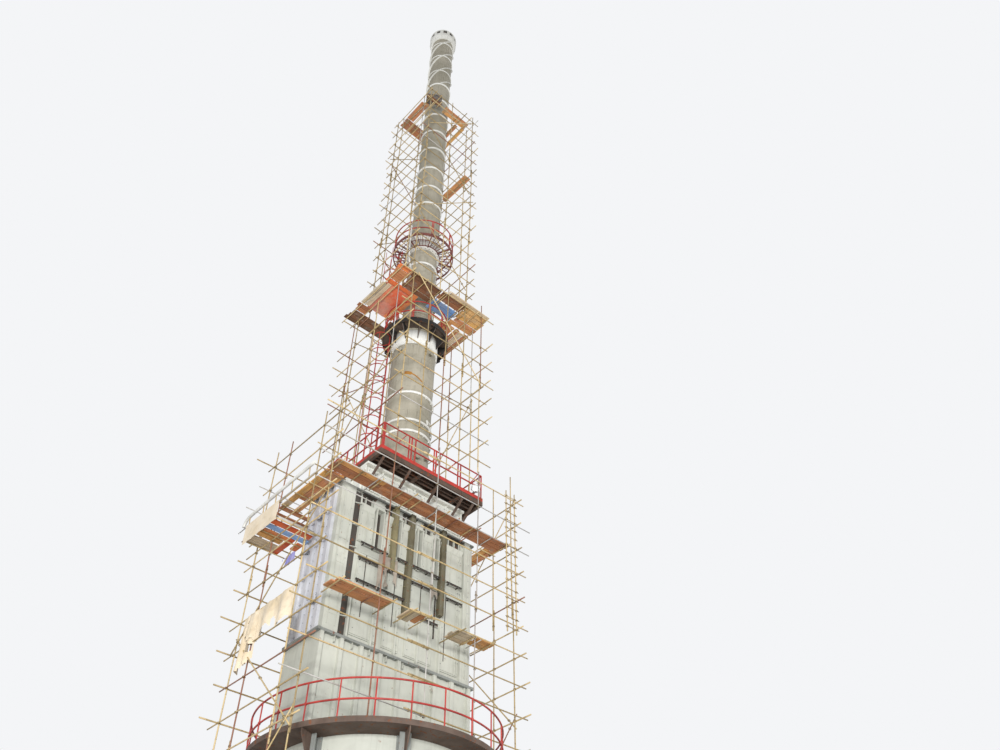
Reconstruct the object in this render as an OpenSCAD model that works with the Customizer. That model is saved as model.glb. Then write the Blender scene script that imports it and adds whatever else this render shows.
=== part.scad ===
// Process fired heater with its stack and pole scaffold, as a 1:2 scale model.
// X runs along the long side of the casing, Y across it and Z up.
// The origin is on the stack's axis at ground level.

/* [Radiant section] */
// Outer radius of the round firebox
shell_r = 1400; // [1390:5:1450]
// Thickness of the firebox wall with its lining
shell_wall = 90; // [60:5:140]
// Height of the firebox floor above ground
shell_base = 1100; // [900:10:1300]
// Height of the top of the firebox
shell_top = 5290; // [5100:10:5400]
// Thickness of the firebox floor and roof
end_t = 60; // [40:5:90]
// Columns round the firebox
column_count = 8; // [6:2:12]
// Width of one column across its flanges
column_w = 150; // [110:5:180]
// Thickness of column flanges and base plates
column_t = 16; // [10:1:24]
// Burners under the floor
burner_count = 6; // [4:1:8]
// Radius of one burner's windbox
burner_r = 160; // [120:5:190]

/* [Ring platform] */
// Outer radius of the ring platform
ring_r = 1780; // [1740:5:1790]
// Thickness of every platform floor
floor_t = 24; // [16:1:36]
// Height of the kick plate round every platform
kick_h = 50; // [40:1:80]
// Thickness of kick plates
kick_t = 8; // [6:1:14]
// Height of the handrails above their floor
rail_h = 550; // [500:5:600]
// Diameter of the rail tubes
rail_d = 26; // [20:1:34]

/* [Convection casing] */
// Length of the casing along X
box_w = 2750; // [2600:10:2900]
// Depth of the casing along Y
box_d = 780; // [740:10:840]
// How far the casing's middle lies to the left of the stack's axis
box_shift = 60; // [0:5:90]
// Thickness of the casing walls
wall_t = 50; // [36:1:70]
// Height of the bolted flange above ground
flange_z = 6815; // [6700:5:6950]
// Thickness of the bolted flange
flange_t = 40; // [30:1:60]
// How far the bolted flange stands out
flange_out = 60; // [40:1:80]
// Height of the casing's top above ground
box_top = 9390; // [9300:10:9450]
// Width of a vertical stiffener
rib_w = 60; // [40:1:80]
// How far a vertical stiffener stands out
rib_out = 55; // [40:1:70]
// Width of the left end column of a long side
post_w = 263; // [230:1:300]
// Width of the deep slot beside the left end column
slot_w = 137; // [110:1:160]
// Width of the right end column of a long side
slim_post_w = 200; // [160:5:240]
// How far the box columns of the long sides stand out
column_out = 92; // [70:1:95]

/* [Hood and top platform] */
// Length of the hood along X
hood_w = 2100; // [1900:10:2200]
// Depth of the hood's top plate along Y
hood_cap = 960; // [900:10:1040]
// Height of the top platform's floor
deck_z = 10100; // [10000:10:10200]
// How far the top platform reaches to the left along X
deck_left = 1045; // [1040:5:1060]
// How far the top platform reaches to the right along X
deck_right = 1190; // [1150:5:1230]
// Depth of the top platform along Y
deck_d = 1620; // [1500:10:1700]

/* [Stack] */
// Outer radius of the wide lower stack
low_r = 435; // [400:5:440]
// Outer radius of the slim upper stack
slim_r = 315; // [300:1:330]
// Thickness of the stack's plate and lining
flue_t = 34; // [20:1:50]
// Height of the round platform's floor
round_z = 13950; // [13850:10:14050]
// Outer radius of the round platform
round_r = 670; // [640:5:700]
// Height of the cone between the two stack sizes
cone_h = 600; // [500:10:700]
// Height of the thick joint ring
joint_z = 16680; // [16500:10:16800]
// Length of the thick joint ring
joint_h = 550; // [480:10:600]
// How far the joint ring stands out
joint_out = 53; // [40:1:60]
// Outer radius of the small platform at the joint
loft_r = 685; // [650:5:695]
// Height where the helical strakes start
strake_z = 24400; // [24200:10:24600]
// How far the strakes stand out
strake_out = 45; // [30:1:60]
// Number of strakes
strake_count = 3; // [2:1:4]
// Height of the crown's lower edge
crown_z = 27340; // [27240:10:27440]
// Height of the crown
crown_h = 460; // [400:10:520]
// How far the crown stands out
crown_out = 85; // [70:1:95]
// Tabs round the crown
crown_tabs = 12; // [8:1:14]
// Height of a stiffening ring
hoop_h = 40; // [24:1:56]
// How far a stiffening ring stands out
hoop_out = 30; // [20:1:36]

/* [Scaffold] */
// Diameter of the bamboo and timber poles
pole_d = 38; // [32:1:44]
// How far the base scaffold reaches to the left along X
base_left = 1950; // [1880:10:2000]
// How far the base scaffold reaches to the right along X
base_right = 1750; // [1720:10:1800]
// Half depth of the scaffold along Y
side_y = 1000; // [980:10:1060]
// Height of the tallest base standards
base_h = 10800; // [10300:10:11000]
// Half length of the lower tower along X
tower_x = 980; // [960:5:985]
// Height of the middle deck
mid_z = 14640; // [14580:10:14700]
// How far the middle deck reaches to the left along X
mid_left = 1190; // [1150:10:1230]
// How far the middle deck reaches to the right along X
mid_right = 1110; // [1090:10:1170]
// Half width of the upper tower
slim_tower = 725; // [705:5:760]
// Height of the top deck
top_z = 22760; // [22600:10:22900]
// Distance between two ledgers
lift_h = 490; // [440:10:540]
// Height of the first ledger above the firebox roof
first_lift = 470; // [380:10:520]
// How far poles run past a corner
pole_over = 200; // [140:10:260]
// How far the long poles reach past the left and right ends
long_over = 380; // [300:10:400]
// Thickness of the plank decks
plank_t = 26; // [20:1:36]
// Width of the plank walkways beside the long sides
walk_w = 320; // [260:10:460]
// Clear gap where one piece rests on another
seat = 0.3; // [0.2:0.1:0.5]

/* [Ladders and loose pieces] */
// Direction of the stack's ladders, turned from +Y
ladder_turn = 60; // [50:5:70]
// Half width of every steel ladder
ladder_half = 110; // [95:5:120]
// Distance between two rungs
rung_gap = 150; // [130:5:170]
// Radius of a safety cage's hoops
cage_r = 190; // [180:2:194]
// Height of the poles that carry the side stage
stage_z = 8510; // [8480:5:8530]
// Thickness of hanging and laid sheets
sheet_t = 12; // [8:1:14]
// Length of the torn sheet along the left side
torn_w = 1200; // [1000:20:1240]
// Drop of the torn sheet
torn_h = 700; // [560:20:760]
// Radius of the drum on the top deck
drum_r = 140; // [120:5:150]
// Length of the drum
drum_l = 420; // [360:10:460]

/* [Hidden] */
rust_red = "#a8322c";
pale_grey = "#c9cbc2";
dull_grey = "#9a9c94";
straw = "#c9a869";
plank = "#c8824a";
// Distance across the flats of a pole
flat = pole_d * cos(30);
// How far a ledger's axis lies outside its standards
lash = pole_d * 0.62;
// How much lower the ledgers of the short sides lie
lower_step = flat + seat;
// Sink that fuses two forms of one piece
bite = 1;
roof_z = shell_top + end_t;
neck_z = roof_z + seat;
casing_z = flange_z + flange_t + seat;
cone_top = round_z + cone_h;
bore_r = slim_r - flue_t;
low_bore = low_r - flue_t;
ring_in = shell_r + column_w + 3 * seat;
// Gap between a handrail and its kick plate
rail_gap = 2;
rail_inset = kick_t + rail_d / 2 + rail_gap;
// Thickness and overhang of the plate over the casing
lid_t = 30;
// Depth and width of the beams under the top platform
beam_h = 90;
beam_w = 50;
mid_level = mid_z - plank_t - flat * 1.5 - seat + bite;
top_level = top_z - plank_t - flat * 1.5 - seat + bite;
stage_x = 30 - base_left - long_over;
// Where the standards of the long sides stand along X, below and above the base's head
base_xs = [-900, 0, 900];
tower_xs = [-900, -450, 0, 450, 900];
wide_levels = floor((base_h - 300 - level(0)) / lift_h);
tower_levels = floor((mid_level - level(0)) / lift_h) - 1;
base_top = level(wide_levels) + lift_h / 2;
// Where the ladder past the casing stands along X
ladder_x = -560;
ladder_stile = 22;
rung_d = 14;
// Where the ladder from the ground passes the ring floor
hatch_y = ring_r - 180;
// Gap between the planks' outer edge and the standards
plank_gap = 4;
plank_y = side_y - pole_d / 2 - plank_gap;
// How far cross poles run past the standards
cross_over = 120;
// Opening of the middle deck that the tarpaulin covers: left and front edge, and its size
tarp_left = 90 - mid_left;
tarp_front = -400;
tarp_w = 600;
tarp_d = 420;

// A round tube with an open bore
module tube(r, t, z0, z1) {
    translate([0, 0, z0])
        difference() {
            cylinder(r = r, h = z1 - z0, $fn = 64);
            translate([0, 0, -1])
                cylinder(r = r - t, h = z1 - z0 + 2, $fn = 64);
        }
}

// A flat ring of stated inner and outer radius
module band(r_in, r_out, z, h) {
    translate([0, 0, z])
        difference() {
            cylinder(r = r_out, h = h, $fn = 64);
            translate([0, 0, -1])
                cylinder(r = r_in, h = h + 2, $fn = 64);
        }
}

// A hollow rectangular duct, centred on its own axis
module duct(w, d, t, z0, z1) {
    translate([0, 0, z0])
        difference() {
            translate([-w / 2, -d / 2, 0])
                cube([w, d, z1 - z0]);
            translate([t - w / 2, t - d / 2, -1])
                cube([w - 2 * t, d - 2 * t, z1 - z0 + 2]);
        }
}

// An upright post of rail tube
module stanchion(x, y, z0, h) {
    translate([x, y, z0])
        cylinder(d = rail_d, h = h, $fn = 8);
}

// A round handrail: two hoops on posts
module round_rail(r, z0, posts) {
    for (level = [0.5, 1])
        translate([0, 0, z0 + rail_h * level])
            rotate_extrude($fn = 64)
                translate([r, 0])
                    circle(d = rail_d, $fn = 16);
    for (i = [0:posts - 1])
        rotate(360 * (i + 0.5) / posts)
            translate([r, 0, z0])
                cylinder(d = rail_d * 0.8, h = rail_h, $fn = 8);
}

// A straight handrail round a rectangle
module box_rail(w, d, z0, nx, ny) {
    for (level = [0.5, 1])
        for (side = [-1, 1]) {
            translate([-w / 2, side * d / 2, z0 + rail_h * level])
                rotate([0, 90, 0])
                    cylinder(d = rail_d, h = w, $fn = 8);
            translate([side * w / 2, -d / 2, z0 + rail_h * level])
                rotate([-90, 0, 0])
                    cylinder(d = rail_d, h = d, $fn = 8);
        }
    for (side = [-1, 1]) {
        for (i = [0:nx])
            stanchion(w * (i / nx - 0.5), side * d / 2, z0, rail_h);
        for (i = [1:ny - 1])
            stanchion(side * w / 2, d * (i / ny - 0.5), z0, rail_h);
    }
}

// A straight ladder: two stiles and round rungs
module plain_ladder(z0, z1, rungs_to) {
    for (side = [-1, 1])
        translate([side * ladder_half, 0, z0])
            cylinder(d = ladder_stile, h = z1 - z0, $fn = 8);
    for (z = [z0 + rung_gap / 2:rung_gap:rungs_to])
        translate([-ladder_half, 0, z])
            rotate([0, 90, 0])
                cylinder(d = rung_d, h = 2 * ladder_half, $fn = 6);
}

// A caged ladder that faces away from the wall behind it
module caged_ladder(z0, z1) {
    cage_z = z0 + 1100;
    cage_gap = 450;
    strap_h = 18;
    strap_t = 8;
    mouth = 60;
    plain_ladder(z0, z1, z1 - 20);
    for (z = [cage_z:cage_gap:z1])
        translate([0, cage_r * 0.8, z])
            difference() {
                cylinder(r = cage_r, h = strap_h, $fn = 48);
                translate([0, 0, -1])
                    cylinder(r = cage_r - strap_t, h = strap_h + 2, $fn = 48);
                translate([(ladder_stile / 2 - ladder_half), -2 * cage_r, -1])
                    cube([2 * ladder_half - ladder_stile, 2 * cage_r - mouth, strap_h + 2]);
            }
    for (a = [20, 90, 160])
        translate([(cage_r - strap_t / 2) * cos(a), cage_r * 0.8 + (cage_r - strap_t / 2) * sin(a), cage_z])
            cylinder(d = rung_d, h = z1 - cage_z, $fn = 6);
}

// Eight I columns carry the firebox from the ground
module columns() {
    color(dull_grey)
    for (i = [0:column_count - 1])
        rotate(360 * (i + 0.5) / column_count)
            translate([shell_r + seat, 0, 0]) {
                translate([0, -column_w / 2, 0])
                    cube([column_t, column_w, roof_z - floor_t - seat]);
                translate([column_t, -column_t / 2, 0])
                    cube([column_w - 2 * column_t, column_t, roof_z - floor_t - seat]);
                translate([column_w - column_t, -column_w / 2, 0])
                    cube([column_t, column_w, roof_z - floor_t - seat]);
                translate([-column_w / 2, -column_w, 0])
                    cube([2 * column_w, 2 * column_w, column_t]);
                translate([column_t - column_w - seat, -column_w / 2, shell_base - end_t - column_w])
                    cube([column_w, column_w, column_w - seat]);
            }
}

module firebox_floor() {
    color(dull_grey)
    translate([0, 0, shell_base - end_t])
        difference() {
            cylinder(r = shell_r, h = end_t, $fn = 64);
            for (i = [0:burner_count - 1])
                rotate(360 * i / burner_count)
                    translate([shell_r / 2, 0, -1])
                        cylinder(r = burner_r * 0.6, h = end_t + 2, $fn = 32);
        }
}

// Each burner is a round windbox with its air inlet, hung under the floor
module burners() {
    windbox_h = 300;
    neck_h = 60;
    pipe_h = 160;
    color(dull_grey)
    for (i = [0:burner_count - 1])
        rotate(360 * i / burner_count)
            translate([shell_r / 2, 0, shell_base - end_t - seat - windbox_h]) {
                cylinder(r = burner_r, h = windbox_h, $fn = 32);
                translate([0, 0, -neck_h])
                    cylinder(r = burner_r / 2, h = neck_h + bite, $fn = 32);
                translate([0, 0, -neck_h - pipe_h])
                    cylinder(r = burner_r / 6, h = pipe_h + bite, $fn = 16);
            }
}

module firebox_shell() {
    color(pale_grey) {
        tube(shell_r, shell_wall, shell_base + seat, shell_top - seat);
    }
}

module firebox_roof() {
    color(pale_grey)
    translate([0, 0, shell_top])
        difference() {
            cylinder(r = shell_r, h = end_t, $fn = 64);
            translate([-box_w * 0.4, wall_t - box_d / 2, -1])
                cube([box_w * 0.8, box_d - 2 * wall_t, end_t + 2]);
        }
}

// A ring floor with its kick plate, on triangular brackets above the columns
module ring_platform() {
    hatch_w = 2 * ladder_half + ladder_stile + 2 * seat;
    hatch_d = 280;
    tip = ring_r - ring_in - 20;
    tip_h = 60;
    root_h = 360;
    color(dull_grey) {
        difference() {
            band(shell_r + seat, ring_r, roof_z - floor_t, floor_t);
            translate([-hatch_w / 2, hatch_y - hatch_d / 2 - 10, roof_z - floor_t - 1])
                cube([hatch_w, hatch_d, floor_t + 2]);
        }
        band(ring_r - kick_t, ring_r, roof_z - bite, kick_h);
        for (i = [0:column_count - 1])
            rotate(360 * (i + 0.5) / column_count)
                translate([ring_in, column_t / 2, roof_z - floor_t + bite])
                    rotate([90, 0, 0])
                        linear_extrude(column_t)
                            polygon([[0, 0], [tip, 0], [tip, -tip_h], [0, -root_h]]);
    }
}

module ring_handrail() {
    color(rust_red)
    round_rail(ring_r - rail_inset, roof_z + seat, 24);
}

// The ladder from the ground passes a hatch in the ring floor
module ring_ladder() {
    color(rust_red)
    translate([0, hatch_y, 0])
        plain_ladder(0, roof_z + rail_h, roof_z - rung_gap);
}

// The neck below the flange, with upright stiffeners on its long sides
module lower_casing() {
    z1 = flange_z - seat;
    gaps = 8;
    color(pale_grey)
    translate([-box_shift, 0, 0]) {
        duct(box_w, box_d, wall_t, neck_z, z1);
        for (side = [-1, 1])
            for (i = [0:gaps])
                translate([(box_w - rib_w) * (i / gaps - 0.5) - rib_w / 2,
                    side * (box_d / 2 + rib_out / 2 - bite) - rib_out / 2, neck_z])
                    cube([rib_w, rib_out, z1 - neck_z]);
    }
}

// One flat square ring between the casing and the narrower ducting under it
module bolted_flange() {
    color(dull_grey)
    translate([-box_shift, 0, 0])
    duct(box_w + 2 * flange_out, box_d + 2 * flange_out, flange_out + wall_t, flange_z,
        flange_z + flange_t);
}

// One long side: raised panels, tall recesses between deep cheeks, and box columns
module long_wall() {
    x0 = post_w + slot_w + seat - box_w / 2;
    w = box_w / 2 - slim_post_w - seat - x0;
    h = box_top - seat - casing_z;
    recess_z = 0.655;
    recess_h = 0.255;
    cut = wall_t * 0.8;
    cheek_w = 22;
    cheek_out = rib_out * 1.3;
    recesses = [[0.144, 0.201], [0.333, 0.368], [0.535, 0.571], [0.703, 0.734]];
    panels = [[0.004, 0.13], [0.215, 0.32], [0.382, 0.52], [0.585, 0.69], [0.748, 0.99]];
    low_panels = [[0.03, 0.26], [0.3, 0.44], [0.49, 0.73], [0.8, 0.97]];
    columns = [[0.29, 0.53, 1], [0.447, 0.29, 0.84], [0.76, 0.37, 1]];
    column_box = [w * 0.036, column_out, h];
    translate([x0, 0, casing_z]) {
        difference() {
            cube([w, wall_t, h]);
            for (r = recesses)
                translate([w * r[0], -1, h * recess_z])
                    cube([w * (r[1] - r[0]), cut + 1, h * recess_h]);
            for (p = panels)
                translate([w * p[0] + cheek_w, -1, h * 0.93])
                    cube([w * (p[1] - p[0]) - 2 * cheek_w, cut + 1, h * 0.05]);
        }
        for (r = recesses)
            for (x = [w * r[0] - cheek_w, w * r[1]])
                translate([x, bite - cheek_out, h * (recess_z - 0.02)])
                    cube([cheek_w, cheek_out, h * (recess_h + 0.035)]);
        for (p = panels)
            translate([w * p[0], bite - rib_out / 2, h * 0.64])
                cube([w * (p[1] - p[0]), rib_out / 2, h * 0.27]);
        for (p = low_panels)
            translate([w * p[0], bite - rib_out / 3, h * 0.03])
                cube([w * (p[1] - p[0]), rib_out / 3, h * 0.55]);
        for (c = columns)
            translate([w * c[0], bite - column_out, h * c[1]])
                cube([column_box[0], column_box[1], h * (c[2] - c[1])]);
        for (i = [0:5])
            translate([(w - rib_w / 2) * i / 5, bite - rib_out, 0])
                cube([rib_w / 2, rib_out, h * 0.29]);
    }
}

module casing_front() {
    color(pale_grey)
    translate([-box_shift, -box_d / 2, 0])
        long_wall();
}

module casing_back() {
    color(pale_grey)
    rotate(180)
        translate([box_shift, -box_d / 2, 0])
            long_wall();
}

// One short end: four upright stiffeners and four cross rails between the corner posts
module end_wall() {
    d = box_d - 2 * (wall_t + seat);
    h = box_top - seat - casing_z;
    rail_w = 40;
    translate([0, -d / 2, casing_z])
        cube([wall_t, d, h]);
    for (share = [-0.5, -0.17, 0.17, 0.5])
        translate([bite - rib_out, (d - rib_w) * share - rib_w / 2, casing_z])
            cube([rib_out, rib_w, h]);
    for (share = [0.2, 0.4, 0.6, 0.8])
        translate([bite - rib_out * 0.7, -d / 2, casing_z + h * share])
            cube([rib_out * 0.7, d, rail_w]);
}

module casing_left() {
    color(pale_grey)
    translate([-box_w / 2 - box_shift, 0, 0])
        end_wall();
}

module casing_right() {
    color(pale_grey)
    rotate(180)
        translate([box_shift - box_w / 2, 0, 0])
            end_wall();
}

// Corner columns of the long sides, the left one beside a deep slot with gusset plates
module corner_posts() {
    h = box_top - seat - casing_z;
    back_w = post_w + slot_w;
    gusset_t = 12;
    color(pale_grey)
    translate([-box_shift, 0, casing_z])
    for (turn = [0, 180])
        rotate(turn)
            translate([-box_w / 2, -box_d / 2, 0]) {
                cube([back_w, wall_t, h]);
                translate([0, bite - rib_out, 0])
                    cube([post_w, rib_out, h]);
                for (share = [0.12, 0.35, 0.58, 0.74, 0.9])
                    translate([back_w, bite, h * share])
                        linear_extrude(gusset_t)
                            polygon([[0, 0], [0, -rib_out], [-slot_w, 0]]);
                translate([box_w - slim_post_w, 0, 0])
                    cube([slim_post_w, wall_t, h]);
                translate([box_w - slim_post_w, bite - rib_out, 0])
                    cube([slim_post_w * 0.6, rib_out, h]);
            }
}

module casing_roof() {
    color(dull_grey)
    translate([-box_w / 2 - box_shift - lid_t, -box_d / 2 - lid_t, box_top])
        difference() {
            cube([box_w + 2 * lid_t, box_d + 2 * lid_t, lid_t]);
            translate([(box_w - hood_w) / 2 + box_shift + lid_t + wall_t, lid_t + wall_t, -1])
                cube([hood_w - 2 * wall_t, box_d - 2 * wall_t, lid_t + 2]);
        }
}

// The breeching gathers the flue gas to the foot of the stack
module hood() {
    z0 = box_top + lid_t + seat;
    z1 = deck_z - floor_t - beam_h - seat;
    cap_t = 40;
    gaps = 6;
    color(pale_grey) {
        duct(hood_w, box_d, wall_t, z0, z1 - cap_t);
        difference() {
            translate([-hood_w / 2, -hood_cap / 2, z1 - cap_t - bite])
                cube([hood_w, hood_cap, cap_t + bite]);
            translate([0, 0, z1 - 2 * cap_t])
                cylinder(r = low_bore, h = 3 * cap_t, $fn = 64);
        }
        for (side = [-1, 1])
            for (i = [0:gaps])
                translate([(hood_w - rib_w / 2) * (i / gaps - 0.5) - rib_w / 4,
                    side * (box_d / 2 + rib_out / 4 - bite) - rib_out / 4, z0])
                    cube([rib_w / 2, rib_out / 2, z1 - z0 - cap_t]);
    }
}

// Floor plates on a grid of beams that lie on the hood
module top_platform() {
    w = deck_left + deck_right;
    beam_z = deck_z - floor_t - beam_h;
    beams = 6;
    color("#4c3a30")
    translate([-deck_left, 0, 0])
        difference() {
            union() {
                translate([0, -deck_d / 2, deck_z - floor_t])
                    cube([w, deck_d, floor_t]);
                for (side = [-1, 1]) {
                    translate([0, side * (deck_d - kick_t) / 2 - kick_t / 2, deck_z - bite])
                        cube([w, kick_t, kick_h]);
                    translate([0, side * (deck_d / 2 - 0.6 * beam_w) - beam_w / 2, beam_z])
                        cube([w, beam_w, beam_h + bite]);
                }
                for (x = [0, w - kick_t])
                    translate([x, -deck_d / 2, deck_z - bite])
                        cube([kick_t, deck_d, kick_h]);
                for (i = [0:beams - 1])
                    translate([(w - beam_w) * i / (beams - 1), -deck_d / 2, beam_z])
                        cube([beam_w, deck_d, beam_h + bite]);
            }
            translate([deck_left, 0, beam_z - 1])
                cylinder(r = low_r + seat, h = beam_h + floor_t + 2, $fn = 64);
        }
}

module top_handrail() {
    color(rust_red)
    translate([(deck_right - deck_left) / 2, 0, 0])
        box_rail(deck_left + deck_right - 2 * rail_inset, deck_d - 2 * rail_inset, deck_z + seat, 4, 3);
}

module lower_stack() {
    wide_h = 370;
    wide_drop = 485;
    color(pale_grey) {
        tube(low_r, flue_t, deck_z - floor_t - beam_h, round_z - floor_t - seat);
        for (share = [0.052, 0.279, 0.348, 0.525])
            band(low_r - bite, low_r + hoop_out, deck_z + (round_z - deck_z) * share, hoop_h);
        band(low_r - bite, low_r + hoop_out, round_z - wide_drop, wide_h);
    }
}

// The cone carries the slim stack
module stack_cone() {
    rim = 30;
    color(pale_grey)
    translate([0, 0, round_z + seat])
        rotate_extrude($fn = 64)
            polygon([[low_bore, 0], [low_r + hoop_out, 0], [low_r + hoop_out, rim], [low_r, rim],
                [slim_r, cone_h - rim], [slim_r + hoop_out, cone_h - rim],
                [slim_r + hoop_out, cone_h - 2 * seat], [bore_r, cone_h - 2 * seat]]);
}

// Round floor with a deep skirt, on gusset plates
module round_platform() {
    root = low_r + hoop_out + 4;
    tip = round_r - root - bite;
    tip_h = 90;
    root_h = 330;
    skirt_h = 60;
    color("#2c2826") {
        band(low_bore, round_r, round_z - floor_t, floor_t);
        band(round_r - kick_t, round_r, round_z - skirt_h, skirt_h + kick_h);
        for (i = [0:10])
            rotate(30 * (i + 1) + 90 + ladder_turn)
                translate([root, column_t / 2, round_z - floor_t + bite])
                    rotate([90, 0, 0])
                        linear_extrude(column_t)
                            polygon([[0, 0], [tip, 0], [tip, -tip_h], [0, -root_h]]);
    }
}

module round_handrail() {
    color(rust_red)
    round_rail(round_r - rail_inset, round_z + seat, 12);
}

module middle_stack() {
    color(pale_grey) {
        tube(slim_r, flue_t, cone_top + seat, joint_z - seat);
        for (share = [0.305, 0.757])
            band(slim_r - bite, slim_r + hoop_out, cone_top + (joint_z - cone_top) * share, hoop_h);
    }
}

// Two flanges and the sleeve between them
module stack_joint() {
    lip = joint_h * 0.16;
    slant = joint_h * 0.04;
    color("#e4e4de")
    translate([0, 0, joint_z])
        rotate_extrude($fn = 64)
            polygon([[bore_r, 0], [slim_r + joint_out, 0], [slim_r + joint_out, lip],
                [slim_r + joint_out / 2, lip + slant], [slim_r + joint_out / 2, joint_h - lip - slant],
                [slim_r + joint_out, joint_h - lip], [slim_r + joint_out, joint_h], [bore_r, joint_h]]);
}

// An open floor of radial bars, in eight parts that are bolted together
module joint_platform() {
    loft_z = joint_z + joint_h * 0.093;
    root = slim_r + joint_out + seat;
    span = loft_r - root;
    bar_t = 7;
    bars = 5;
    sectors = 8;
    wedge = 360 / sectors;
    gusset_h = 40;
    tip = seat / 2 / sin(wedge / 2);
    color("#5a3c34")
    for (k = [0:sectors - 1])
        rotate(wedge * k) {
            intersection() {
                union() {
                    band(root, root + 2 * bar_t, loft_z, floor_t);
                    band(root + span / 2, root + span / 2 + bar_t, loft_z, floor_t);
                    band(loft_r - 3 * kick_t, loft_r, loft_z, floor_t);
                    band(loft_r - kick_t, loft_r, loft_z + floor_t - bite, kick_h);
                }
                translate([tip * cos(wedge / 2), tip * sin(wedge / 2), loft_z - floor_t])
                    linear_extrude(kick_h + 3 * floor_t)
                        polygon([[0, 0], [2 * loft_r, 0],
                            [2 * loft_r * cos(wedge), 2 * loft_r * sin(wedge)]]);
            }
            for (i = [0:bars - 1])
                rotate(wedge * (i + 0.5) / bars)
                    translate([root + bar_t, -bar_t / 2, loft_z])
                        cube([span - 2 * bar_t, bar_t, floor_t]);
            rotate(wedge / 2)
                translate([root, -column_t / 2, loft_z + bite - gusset_h])
                    cube([span - kick_t, column_t, gusset_h]);
        }
}

module joint_handrail() {
    color(rust_red)
    round_rail(loft_r - rail_inset, joint_z + joint_h * 0.093 + floor_t + seat, 8);
}

module upper_stack() {
    z0 = joint_z + joint_h;
    color(pale_grey) {
        tube(slim_r, flue_t, z0 + seat, strake_z - seat);
        for (share = [0.175, 0.274, 0.389, 0.517, 0.638, 0.76, 0.874])
            band(slim_r - bite, slim_r + hoop_out, z0 + (strake_z - z0) * share, hoop_h);
    }
}

module top_stack() {
    color(pale_grey) {
        tube(slim_r, flue_t, strake_z, crown_z - seat);
        band(slim_r - bite, slim_r + hoop_out, strake_z, hoop_h);
    }
}

// One plate fin wound round the stack, as a strip of triangles from ring to ring
module helical_fin(r, out, thick, z0, span, turn) {
    steps = 48;
    corners = [[r, -thick / 2], [r + out, -thick / 2], [r + out, thick / 2], [r, thick / 2]];
    points = [for (i = [0:steps])
        let (a = turn * i / steps, z = z0 + (span - thick) * i / steps + thick / 2)
            for (c = corners)
                [c[0] * cos(a), c[0] * sin(a), z + c[1]]];
    sides = [for (i = [0:steps - 1])
        for (k = [0:3])
            let (a = 4 * i + k, b = 4 * i + (k + 1) % 4)
                each [[a, b, b + 4], [a, b + 4, a + 4]]];
    polyhedron(points, concat([[3, 2, 1, 0]], sides, [[for (k = [0:3]) 4 * steps + k]]));
}

// Plate fins wound round the top of the stack break up the wind
module strakes() {
    z0 = strake_z + hoop_h + seat;
    plate_t = 12;
    turn = 400;
    color("#dcdcd4")
    for (i = [0:strake_count - 1])
        rotate(360 * i / strake_count)
            helical_fin(slim_r + seat, strake_out, plate_t, z0, crown_z - z0 - 2 * seat, turn);
}

// The crown is a wider ring with open windows between its tabs
module crown() {
    rim = slim_r + crown_out;
    plate_t = 14;
    flare_h = crown_h * 0.3;
    step = crown_h * 0.12;
    tab_t = 14;
    window = [crown_out, 110, crown_h * 0.36];
    color("#dcdcd4")
    difference() {
        union() {
            translate([0, 0, crown_z])
                rotate_extrude($fn = 64)
                    polygon([[bore_r, 0], [slim_r + hoop_out, 0], [rim, flare_h], [rim, crown_h],
                        [rim - plate_t, crown_h], [rim - plate_t, flare_h + plate_t], [slim_r, plate_t],
                        [slim_r, crown_h - step], [bore_r, crown_h - step]]);
            for (i = [0:crown_tabs - 1])
                rotate(360 * (i + 0.5) / crown_tabs)
                    translate([slim_r - 4, -tab_t / 2, crown_z + plate_t])
                        cube([crown_out - 4, tab_t, crown_h - 2 * plate_t]);
        }
        for (i = [0:crown_tabs - 1])
            rotate(360 * i / crown_tabs)
                translate([slim_r + 20, -window[1] / 2, crown_z + crown_h * 0.94 - window[2]])
                    cube(window);
    }
}

module box_ladder() {
    color(rust_red)
    translate([ladder_x, box_d / 2 + 2 * flange_out, 0])
        caged_ladder(roof_z + seat, deck_z - floor_t - beam_h - 2);
}

module stack_ladder() {
    color(rust_red)
    rotate(ladder_turn)
        translate([0, low_r + hoop_out + 60, 0])
            caged_ladder(deck_z + seat, round_z - floor_t - 2);
}

module slim_ladder() {
    color(rust_red)
    rotate(ladder_turn)
        translate([0, low_r + hoop_out + ladder_stile, 0])
            caged_ladder(round_z + seat, joint_z + joint_h * 0.09);
}

// One pole standing up
module standard(x, y, z0, z1) {
    translate([x, y, z0])
        cylinder(d = pole_d, h = z1 - z0, $fn = 6);
}

// One pole lying along X with flat faces above and below
module ledger(x0, x1, y, z) {
    translate([x0, y, z])
        rotate([0, 90, 0])
            rotate(30)
                cylinder(d = pole_d, h = x1 - x0, $fn = 6);
}

// Height of a ledger of the long sides, counted from the firebox roof
function level(k) = roof_z + seat + first_lift + k * lift_h;

// A flat side: standards on one plane, ledgers lashed outside them
module lattice(xs, foot, z_top, levels, x0, x1) {
    for (x = xs)
        standard(x, 0, foot, z_top);
    for (z = levels)
        ledger(x0, x1, -lash, z);
}

// A long side of the base stands on the firebox roof
module long_side(left, right) {
    lattice(base_xs, roof_z + seat, base_top, [for (k = [0:wide_levels]) level(k)], -left, right);
}

// A long side of the lower tower goes on from the base to just above the middle deck
module tower_long() {
    reach = tower_x + pole_over;
    head = 260;
    lattice(tower_xs, base_top + seat, mid_z + head,
        [for (k = [wide_levels + 1:tower_levels]) level(k)], -reach, reach);
}

module scaffold_front() {
    color(straw)
    translate([0, -side_y, 0])
        long_side(base_left + long_over, base_right + long_over);
}

module scaffold_back() {
    color(straw)
    rotate(180)
        translate([0, -side_y, 0])
            long_side(base_right + long_over, base_left + long_over);
}

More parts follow.
